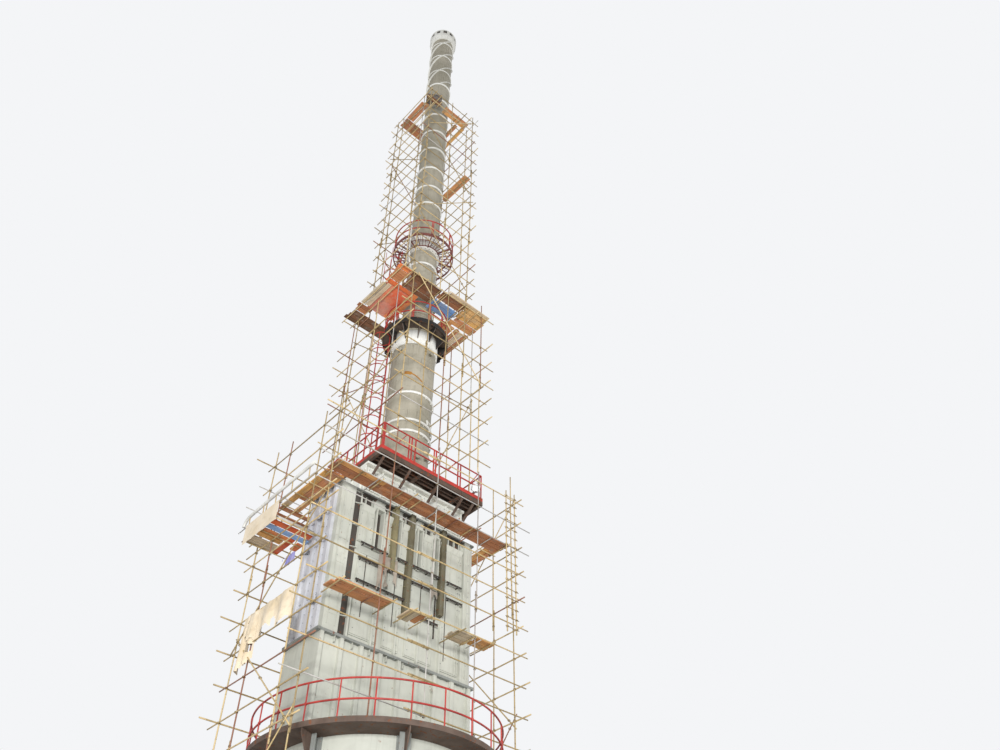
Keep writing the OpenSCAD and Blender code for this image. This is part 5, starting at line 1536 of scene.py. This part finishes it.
    def _lip(self, work: PieceMesh, side: int, left: float, right: float) -> None:
        """A sloped lip over a high panel and an upright rib down its middle."""
        middle, out, (low, high) = (left + right) / 2, self.panel_out, self.panel_z
        lip = [self._spot(side, middle, reach, height) for reach, height in ((0.03, 9.05), (0.072, 9.152))]
        work.bar(*lip, AXIS_Y * side, right - left - 0.04, 0.006)
        self._plate(work, side, (middle - 0.006, out - 0.002, low + 0.02),
                    (middle + 0.006, out + 0.02, high - 0.02))

    def _end(self, work: PieceMesh, side: int) -> None:
        """Header covers with bolts and three nozzles on one short end."""
        face = self.middle + side * self.half
        out = AXIS_X * side
        for y in (-0.235, 0.0, 0.235):
            for height in (7.1, 7.62, 8.13, 8.64, 9.12):
                root = point(face - side * 0.001, y, height)
                work.bar(root, root + out * 0.02, AXIS_Z, 0.13, 0.3, chamfer=0.005)
                for dy in (-0.05, 0.05):
                    for dz in (-0.13, 0.0, 0.13):
                        work.bolt(root + out * 0.02 + point(0, dy, dz), out, 0.006, ZINC)
        for y, height in ((-0.235, 7.36), (0.0, 8.9), (0.235, 8.38)):
            work.nozzle(point(face, y, height), out, 0.035, 0.07, 0.055, 0.03)


@dataclass(frozen=True)
class HoodAndTop:
    """The hood above the casing and the top platform with its rail and lamp."""

    half: float = 1.05
    depth: float = 0.39
    low: float = 9.43
    panel_top: float = 9.9
    panel_gap: float = 0.167
    panels: int = 12
    louvre_place: int = 6     # number of the panel that the louvre takes the place of
    floor: float = 10.1
    left: float = -1.045
    right: float = 1.19
    half_y: float = 0.81
    rail_inset: float = 0.023
    rail_height: float = 0.548

    def build(self) -> None:
        """Dresses the CAD nodes and adds panels, louvre, struts, rail posts and the lamp."""
        HOOD_PAINT.dress("hood")
        DECK_PRIMER.dress("top_platform")
        RED_ENAMEL.dress("top_handrail")
        work = PieceMesh(HOOD_PAINT, ZINC, DARK_AND_PAINTED_SHADE)
        for sign in (-1, 1):
            self._panels(work, sign)
        work.piece("hood_panels", "casing_paint")
        self._struts()
        self._rails()
        self._lamp()

    def _panels(self, work: PieceMesh, sign: int) -> None:
        """White cover panels, a louvre and a round port on one side of the hood, and covers on one end."""
        face, out = sign * self.depth, AXIS_Y * sign
        for number in range(self.panels):
            if number == self.louvre_place:
                continue
            place = -self.half + 0.06 + number * self.panel_gap
            work.block((place, face - sign * 0.002, self.low + 0.05),
                       (place + 0.15, face + sign * 0.032, self.panel_top), chamfer=0.005)
            for height in (self.low + 0.1, self.panel_top - 0.04):
                for x in (0.02, 0.13):
                    work.bolt(point(place + x, face + sign * 0.032, height), out, 0.005, ZINC)
        for number in range(5):
            slat = point(0.075, face + sign * 0.02, 9.62 + 0.055 * number)
            work.bar(slat - AXIS_X * 0.06, slat + AXIS_X * 0.06, unit(out + AXIS_Z * 0.8), 0.006, 0.05)
        # Dark block behind the louvre slats: painted shade between them.
        work.block((0.0, face, 9.55), (0.15, face + sign * 0.004, self.panel_top), DARK_AND_PAINTED_SHADE)
        port = point(0.4, face + sign * 0.03, 9.78)
        work.turned(port, out, [(0.045, 0), (0.045, 0.02), (0.03, 0.02), (0.03, 0.004)], 24)
        # Dark disc inside the port: painted shade in its bore.
        work.turned(port + out * 0.0005, out, [(0.029, 0), (0.029, 0.003)], 24, DARK_AND_PAINTED_SHADE)
        for y in (-0.26, 0.0, 0.26):
            root = point(sign * (self.half - 0.001), y, 9.66)
            work.bar(root, root + AXIS_X * sign * 0.03, AXIS_Z, 0.2, 0.38, chamfer=0.005)

    def _struts(self) -> None:
        """Knee struts from the hood to the platform's edge beams, and stringers between its beams."""
        work = PieceMesh(RING_PRIMER)
        for sign in (-1, 1):
            for place in (-0.95, -0.4, 0.2, 0.75, 1.0):
                foot = point(place, sign * (self.depth + 0.035), 9.66)
                head = point(place + 0.02, sign * (self.half_y - 0.06), self.floor - 0.118)
                work.bar(foot, head, AXIS_Z, 0.035, 0.035)
                work.bar(foot - AXIS_Z * 0.05, foot + AXIS_Z * 0.05, AXIS_Y * sign, 0.07, 0.01)
        for y in (-0.62, -0.53, 0.53, 0.62):
            start, end = (point(x, y, self.floor - 0.05) for x in (self.left + 0.03, self.right - 0.03))
            work.bar(start, end, AXIS_Z, 0.02, 0.05)
        work.piece("platform_struts", "platform_steel")

    def _rails(self) -> None:
        """Flat second posts, knee plates and clips along the red handrail."""
        work = PieceMesh(RED_ENAMEL, ZINC)
        inner = self.rail_inset
        for sign in (-1, 1):
            y = sign * (self.half_y - inner)
            for place in (-0.99, -0.42, -0.34, 0.12, 0.2, 0.68, 1.12):
                work.bar(point(place, y, self.floor + CLEAR), point(place, y, self.floor + self.rail_height),
                         AXIS_Y, 0.03, 0.007)
                foot = point(place, y - sign * 0.02, self.floor)
                work.bar(foot + AXIS_Z * 0.002, foot + AXIS_Z * 0.012, AXIS_Y, 0.05, 0.05)
                work.bolt(point(place, y - sign * 0.03, self.floor + 0.012), AXIS_Z, 0.006, ZINC)
            for place in (-0.7, 0.4, 0.92):
                work.bar(point(place, y, self.floor + 0.28), point(place + 0.16, y, self.floor + 0.54),
                         AXIS_Y, 0.016, 0.006)
        for x in (self.left + inner, self.right - inner):
            for y in (-0.45, 0.0, 0.45):
                work.bar(point(x, y, self.floor + CLEAR), point(x, y, self.floor + self.rail_height), AXIS_X,
                         0.03, 0.007)
        work.piece("rail_posts", "red_enamel")

    def _lamp(self) -> None:
        """A floodlight on a bracket at the right corner of the rail."""
        work = PieceMesh(PIPE_WHITE, GLASS, ZINC)
        centre = point(0.96, -self.half_y - 0.075, self.floor + 0.12)
        aim = unit(point(-0.35, -0.6, -0.7))
        work.bar(centre - aim * 0.03, centre + aim * 0.03, AXIS_Z, 0.15, 0.11, chamfer=0.01)
        work.bar(centre + aim * 0.03, centre + aim * 0.034, AXIS_Z, 0.13, 0.092, GLASS, chamfer=0.002)
        for place in (-0.048, -0.024, 0.0, 0.024, 0.048):
            fin = centre - aim * 0.032 + AXIS_X * place
            work.bar(fin, fin - aim * 0.02, AXIS_Z, 0.005, 0.09)
        bow = ((-0.085, 0, 0), (-0.085, 0.03, -0.04), (0, 0.045, -0.06), (0.085, 0.03, -0.04), (0.085, 0, 0))
        work.sweep(centre + np.array(bow), 0.006, 8, ZINC)
        work.bar(centre + point(0, 0.04, -0.06), centre + point(0, 0.09, -0.06), AXIS_Z, 0.03, 0.01, ZINC)
        work.piece("floodlight", "casing_paint")


@dataclass(frozen=True)
class Stack:
    """The ringed stack from the hood to its crown."""

    low_r: float = 0.435
    slim_r: float = 0.315
    wide_rings: tuple = (10.3002, 11.1742, 11.4398, 12.1213)
    wide_collar: tuple = (13.465, 0.37)
    slim_rings: tuple = (15.1997, 16.1624, 18.4848, 19.1946, 20.0191, 20.9369, 21.8045, 22.6792, 23.4966,
                         24.4)
    top_rings: tuple = (25.24, 26.184, 27.026)
    low_seams: tuple = (10.85, 11.7, 12.5, 13.1)
    slim_seams: tuple = (14.95, 15.6, 16.4, 17.6, 18.1, 18.85, 19.6, 20.5, 21.4, 22.25, 23.1, 23.85, 24.7,
                         25.6, 26.5)
    course_ends: tuple = (18.1, 19.6, 21.4, 23.1, 24.7)
    foot: float = 10.1
    conduit: tuple = ((-0.62, -0.36, 17.2), (-0.665, -0.4, 17.0), (-0.67, -0.41, 16.6),
                      (-0.665, -0.41, 16.2), (-0.62, -0.38, 15.85), (-0.52, -0.32, 15.68),
                      (-0.36, -0.22, 15.62), (-0.27, -0.16, 15.6))

    def build(self) -> None:
        """Dresses the CAD nodes and adds seams, rings, bolts, stubs and the conduit."""
        SHADE_DARKENED_STACK_PAINT.dress("lower_stack", "stack_cone", "middle_stack", "upper_stack", "top_stack")
        RING_PAINT.dress("stack_joint", "strakes", "crown")
        BLACK_BAND.dress("round_platform")
        RUST_PRIMER.dress("joint_platform")
        RED_ENAMEL.dress("round_handrail", "joint_handrail", "box_ladder", "stack_ladder", "slim_ladder")
        self._rings()
        self._seams()
        self._joint()
        self._platforms()

    def _rings(self) -> None:
        """White painted rims on the stiffening rings, each over 16 small gussets."""
        work = PieceMesh(RING_PAINT)
        skin, collar = 0.002, self.wide_collar
        for radius, rings, thick, out in ((self.low_r, self.wide_rings, 0.04, 0.03),
                                          (self.low_r, collar[:1], collar[1], 0.03),
                                          (self.slim_r, self.slim_rings, 0.04, 0.03),
                                          (self.slim_r, self.top_rings, 0.03, 0.02)):
            edge = radius + out + skin
            for height in rings:
                work.turned(AXIS_Z * height, AXIS_Z,
                            [(radius - 0.001, -skin), (edge, -skin), (edge + skin, thick / 2),
                             (edge, thick + skin), (radius - 0.001, thick + skin)], 96, hollow=True)
                for away, _ in around(16, 7):
                    foot = away * (radius + 0.012) + AXIS_Z * (height - skin)
                    work.bar(foot, foot - AXIS_Z * 0.03, away, 0.005, 0.02)
        work.piece("stack_rings", "stack_paint")

    def _seams(self) -> None:
        """Girth and upright welds of the rolled plates, a brown strap, white straps and nozzles."""
        work = PieceMesh(SHADE_DARKENED_STACK_PAINT, OCHRE_PRIMER, RING_PAINT)
        for height in self.low_seams:
            work.bead(self.low_r, height, 0.0045)
        for height in self.slim_seams:
            work.bead(self.slim_r, height, 0.004)
        for radius, edges in ((self.low_r, (10.3, *self.low_seams, 13.46)),
                              (self.slim_r, (17.15, *self.course_ends, 26.9))):
            for number, (start, end) in enumerate(zip(edges, edges[1:])):
                for turn in (195 + 37 * (number % 3), 285 - 29 * (number % 2)):
                    foot = heading(turn) * radius
                    work.sweep(np.array([foot + AXIS_Z * start, foot + AXIS_Z * end]), 0.0045, 6)
        self._straps(work)
        for height, turn in ((10.62, 262), (10.7, 291), (13.3, 200), (13.3, 280)):
            out = heading(turn)
            work.nozzle(out * (self.low_r - 0.003) + AXIS_Z * height, out, 0.03, 0.06, 0.046, 0.024)
        work.piece("stack_seams", "stack_paint")

    def _straps(self, work: PieceMesh) -> None:
        """A brown strap that sags round the lower stack, and three white ones below it."""
        sag = [heading(turn) * self.low_r + AXIS_Z * (12.66 - 0.0011 * i * i)
               for i, turn in enumerate(np.linspace(215, 262, 14))]
        for i, (start, end) in enumerate(zip(sag, sag[1:])):
            out = unit((start + end) * point(1, 1, 0))
            work.bar(start, end, out, 0.075 if i < 5 else 0.028, 0.012, OCHRE_PRIMER, chamfer=0.001)
        for strap in (((286, 11.6), (316, 11.64)), ((317, 11.66), (301, 11.4)), ((286, 11.6), (290, 11.52))):
            start, end = (heading(turn) * (self.low_r + 0.012) + AXIS_Z * height for turn, height in strap)
            work.bar(start, end, unit(start * point(1, 1, 0)), 0.028, 0.02, RING_PAINT)

    def _joint(self) -> None:
        """Bolts of the joint, the foot flange with its gussets, the crown's tabs, dark liners that paint
        shade behind its windows, and the conduit.
        """
        work = PieceMesh(RING_PAINT, ZINC, PIPE_WHITE, DARK_AND_PAINTED_SHADE)
        for out, _ in around(24):
            for height, way in ((17.23, AXIS_Z), (16.68, -AXIS_Z)):
                work.bolt(out * (self.slim_r + 0.036) + AXIS_Z * height, way, 0.008, ZINC)
        for out, _ in around(20):
            foot = out * (self.low_r + 0.03) + AXIS_Z * (self.foot + CLEAR)
            work.bar(foot, foot + AXIS_Z * 0.19, out, 0.008, 0.055)
        low = self.foot + CLEAR
        work.hoop(self.low_r + 0.001, self.low_r + 0.075, low, low + 0.014, 64)
        for out, _ in around(20, 9):
            work.bolt(out * (self.low_r + 0.052) + AXIS_Z * (low + 0.0141), AXIS_Z, 0.009, ZINC)
        for out, _ in around(12, 15):
            work.bolt(out * (self.slim_r + 0.0845) + AXIS_Z * 27.53, out, 0.007, ZINC)
            tab = out * (self.slim_r + 0.088) + AXIS_Z * 27.5
            work.bar(tab, tab + AXIS_Z * 0.27, out, 0.03, 0.008)
        # Dark liners inside the crown: painted shade seen through its windows.
        for inner, low, high in ((-0.002, 27.36, 27.735), (0.06, 27.59, 27.785)):
            work.hoop(self.slim_r + inner, self.slim_r + inner + 0.008, low, high, 64, DARK_AND_PAINTED_SHADE, True)
        work.hoop(self.slim_r + 0.084, self.slim_r + 0.089, 27.772, 27.799)
        line = smooth_line(self.conduit, 36)
        work.sweep(line, 0.017, 10, PIPE_WHITE)
        for i in (5, 16, 26):
            work.turned(line[i], line[i + 1] - line[i], [(0.022, -0.015), (0.022, 0.015)], 12, ZINC)
        work.piece("joint_fittings", "stack_paint")

    def _platforms(self) -> None:
        """Floor bars, second posts and collars of the two round platforms."""
        work = PieceMesh(RED_ENAMEL, RING_PRIMER)
        for radius, inner, floor, posts in ((0.647, 0.47, 13.95, 12), (0.662, 0.38, 16.7552, 8)):
            for out, side in around(posts, 180 / posts):
                foot = out * radius + AXIS_Z * (floor + 0.001)
                work.bar(foot + side * 0.03, foot + side * 0.03 + AXIS_Z * 0.54, out, 0.02, 0.006)
                work.collar(foot + AXIS_Z * KNEE_RAIL, out)
            for out, _ in around(60, 3):
                rise = AXIS_Z * (floor + 0.004)
                work.bar(out * (inner + 0.02) + rise, out * (radius - 0.02) + rise, AXIS_Z, 0.005, 0.006,
                         RING_PRIMER, chamfer=0.001)
        work.piece("round_platform_fittings", "red_enamel")


def smooth_line(controls: Sequence[Sequence[float]], count: int) -> np.ndarray:
    """A Catmull-Rom line through a row of points.

    Args:
        controls: Points that the line passes through.
        count: Points on the line.

    Returns:
        The points of the line.
    """
    held = np.array([controls[0], *controls, controls[-1]], float)
    line = []
    for share in np.linspace(0, len(controls) - 1, count):
        i = min(int(share), len(controls) - 2)
        t = share - i
        p0, p1, p2, p3 = held[i:i + 4]
        line.append(0.5 * (2 * p1 + (p2 - p0) * t + (2 * p0 - 5 * p1 + 4 * p2 - p3) * t * t
                           + (3 * p1 - p0 - 3 * p2 + p3) * t ** 3))
    return np.array(line)


@dataclass(frozen=True)
class LooseGear:
    """Things left on the scaffold: the drum, a bent pipe and stray boards."""

    seed: int = 83
    drum_centre: tuple = (-0.45, -0.47, 22.9003)
    drum_radius: float = 0.14
    drum_half: float = 0.21
    drum_turn: float = -35.0
    rail: tuple = ((-2.268, -0.98, 9.0), (-2.27, -0.4, 8.99), (-2.272, 0.3, 8.97), (-2.274, 0.75, 8.95),
                   (-2.276, 0.87, 8.92), (-2.276, 0.93, 8.85), (-2.276, 0.94, 8.81))

    def build(self) -> None:
        """Makes the drum, the white pipe on its stays, a steel tube and two boards on bearers."""
        self._drum()
        work = PoleWork(self.seed, TIMBER, PIPE_WHITE)
        work.sweep(smooth_line(self.rail, 26), 0.025, 12, PIPE_WHITE)
        upper = ledger_height(6) + POLE_D + POLE_R
        for y in (-0.86, -0.4, 0.05, 0.4, 0.8):
            work.pole(point(-2.262, y, upper), point(-2.27, y, 8.96), 0.009, 0.5)
        tube = Scaffold.STAGE_POLE + POLE_R + 0.03
        work.pole(point(-2.235, 0.0, tube), point(-1.56, -0.01, tube), 0.034, PoleWork.STEEL_TONE)
        ledge = cross_height(Scaffold.HEAD_TOP) - 5 * LIFT - POLE_D
        for y in (-0.4, 0.3):
            work.pole(point(0.6, y, ledge), point(0.94, y + 0.02, ledge), POLE_R, 0.5)
        laid = ledge + POLE_R + 0.016
        for shift, tone in ((0.0, 0.74), (0.096, 0.68)):
            work.bar(point(0.72 + shift, -0.54, laid), point(0.7 + shift, 0.42, laid), AXIS_Z, 0.09, 0.03,
                     TIMBER, tone, warp=0.02, stations=4)
        work.piece("loose_boards_and_pipe", "scaffold_planks")

    def _drum(self) -> None:
        """A steel drum with rolling hoops, rims and two bungs."""
        work = PieceMesh(DRUM_PAINT, ZINC)
        r, half, body = self.drum_radius, self.drum_half, self.drum_radius * 0.965
        axis = heading(self.drum_turn)
        centre = np.array(self.drum_centre)
        profile = [(r, -half), (r, -half + 0.004), (body, -half + 0.012)]
        for hoop in (-half / 3, half / 3):
            profile += [(body, hoop - 0.012), (r, hoop - 0.004), (r, hoop + 0.004), (body, hoop + 0.012)]
        profile += [(body, half - 0.012), (r, half - 0.004), (r, half), (body * 0.97, half),
                    (body * 0.95, half - 0.006)]
        work.turned(centre, axis, profile, 48)
        side = np.cross(AXIS_Z, axis)
        for offset, size in ((0.045, 0.013), (-0.045, 0.008)):
            work.turned(centre + axis * (half - 0.006) + side * offset, axis,
                        [(size, 0), (size, 0.006), (size * 0.7, 0.008)], 12, ZINC)
        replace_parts(work.piece("steel_drum", "drum_steel"), "drum")


@dataclass(frozen=True)
class Studio:
    """Pale floor, soft lights and the camera at the photograph's viewing angle."""

    camera_spot: tuple = (-7.168, -10.24, 0.8)
    focal_px: float = 878.0
    frame_px: float = 1000.0
    sensor_mm: float = 36.0
    see_to: float = 400.0
    pitch: float = 44.6
    roll: float = -0.3
    yaw: float = -43.0
    floor_half: float = 90.0
    floor_glow: float = 0.27
    world_light: float = 0.52
    lamps: tuple = (("key", (-14.0, -16.0, 6.0), 3.0, 3300.0), ("low_fill", (-9.0, -15.0, 4.5), 5.0, 1000.0),
                    ("right_fill", (17.0, -8.0, 16.0), 12.0, 700.0))
    lamp_aim: tuple = (0.0, 0.0, 9.0)
    low_lamp: float = 8.0     # a lamp below this height would burn out the floor beside it

    def build(self) -> None:
        """Sets up the camera, the floor, the world and the lamps."""
        self._camera()
        self._floor()
        self._world()
        for lamp in self.lamps:
            self._lamp(*lamp)
        bpy.context.scene.view_settings.view_transform = "Standard"

    def _camera(self) -> None:
        """Places the camera by pitch, roll and heading."""
        p, r = math.radians(self.pitch), math.radians(self.roll)
        forward = Vector((0, math.cos(p), math.sin(p)))
        up = Vector((0, -math.sin(p), math.cos(p)))
        right = Vector((1, 0, 0))
        level, rise = math.cos(r) * right + math.sin(r) * up, -math.sin(r) * right + math.cos(r) * up
        turn = Matrix.Rotation(math.radians(self.yaw), 3, "Z")
        basis = Matrix((turn @ level, turn @ rise, -(turn @ forward))).transposed()
        data = bpy.data.cameras.new("camera")
        data.sensor_width = self.sensor_mm
        data.lens = self.focal_px / self.frame_px * self.sensor_mm
        data.clip_end = self.see_to
        camera = link("camera", data)
        camera.matrix_world = Matrix.Translation(self.camera_spot) @ basis.to_4x4()
        bpy.context.scene.camera = camera

    def _floor(self) -> None:
        """A wide pale floor with a faint glow, so that undersides are lit as well."""
        h = self.floor_half
        mesh = bpy.data.meshes.new("studio_floor")
        mesh.from_pydata([(-h, -h, 0), (h, -h, 0), (h, h, 0), (-h, h, 0)], [], [(0, 1, 2, 3)])
        floor = link("studio_floor", mesh)
        g = MaterialGraph("pale_studio_floor")
        mesh.materials.append(g.close({"Base Color": linear("#efedea"), "Roughness": 0.9,
                                       "Emission Color": linear("#ffffff"),
                                       "Emission Strength": self.floor_glow}, {}))
        shielded = bpy.data.collections.new("not_lit_by_low_lamps")
        shielded.objects.link(floor)
        shielded.collection_objects[0].light_linking.link_state = "EXCLUDE"

    def _world(self) -> None:
        """Soft grey light, with a white background where the camera or a reflection sees it."""
        world = bpy.data.worlds.new("studio_world")
        bpy.context.scene.world = world
        world.use_nodes = True
        tree = world.node_tree
        tree.nodes.clear()
        rays = add_node(tree, "ShaderNodeLightPath")
        seen = add_node(tree, "ShaderNodeMath", {"operation": "ADD", "use_clamp": True},
                        {0: rays.outputs["Is Camera Ray"], 1: rays.outputs["Is Glossy Ray"]})
        strength = add_node(tree, "ShaderNodeMapRange",
                            {"From Min": 0.0, "From Max": 1.0, "To Min": self.world_light, "To Max": 1.0},
                            {"Value": seen.outputs[0]})
        shine = add_node(tree, "ShaderNodeBackground", {"Color": linear("#f4f5f7")},
                         {"Strength": strength.outputs[0]})
        add_node(tree, "ShaderNodeOutputWorld", {}, {"Surface": shine.outputs[0]})

    def _lamp(self, name: str, place: tuple, size: float, power: float) -> None:
        """A square soft lamp that looks at the lower heater; a low one doesn't light the floor."""
        data = bpy.data.lights.new(name, "AREA")
        data.size = size
        data.energy = power
        lamp = link(name, data)
        lamp.location = place
        lamp.rotation_euler = (Vector(self.lamp_aim) - Vector(place)).to_track_quat("-Z", "Y").to_euler()
        if place[2] < self.low_lamp:
            lamp.light_linking.receiver_collection = bpy.data.collections["not_lit_by_low_lamps"]


def main() -> None:
    """Builds the studio, the heater, the scaffold and its sheets."""
    logging.basicConfig(level=logging.INFO, format="%(name)s: %(message)s")
    for part in (Studio(), Firebox(), RingPlatform(), Casing(), HoodAndTop(), Stack(), Scaffold(),
                 LooseGear(), Sheets()):
        part.build()
        LOG.info("%s is built", type(part).__name__)


if __name__ == "__main__":
    main()
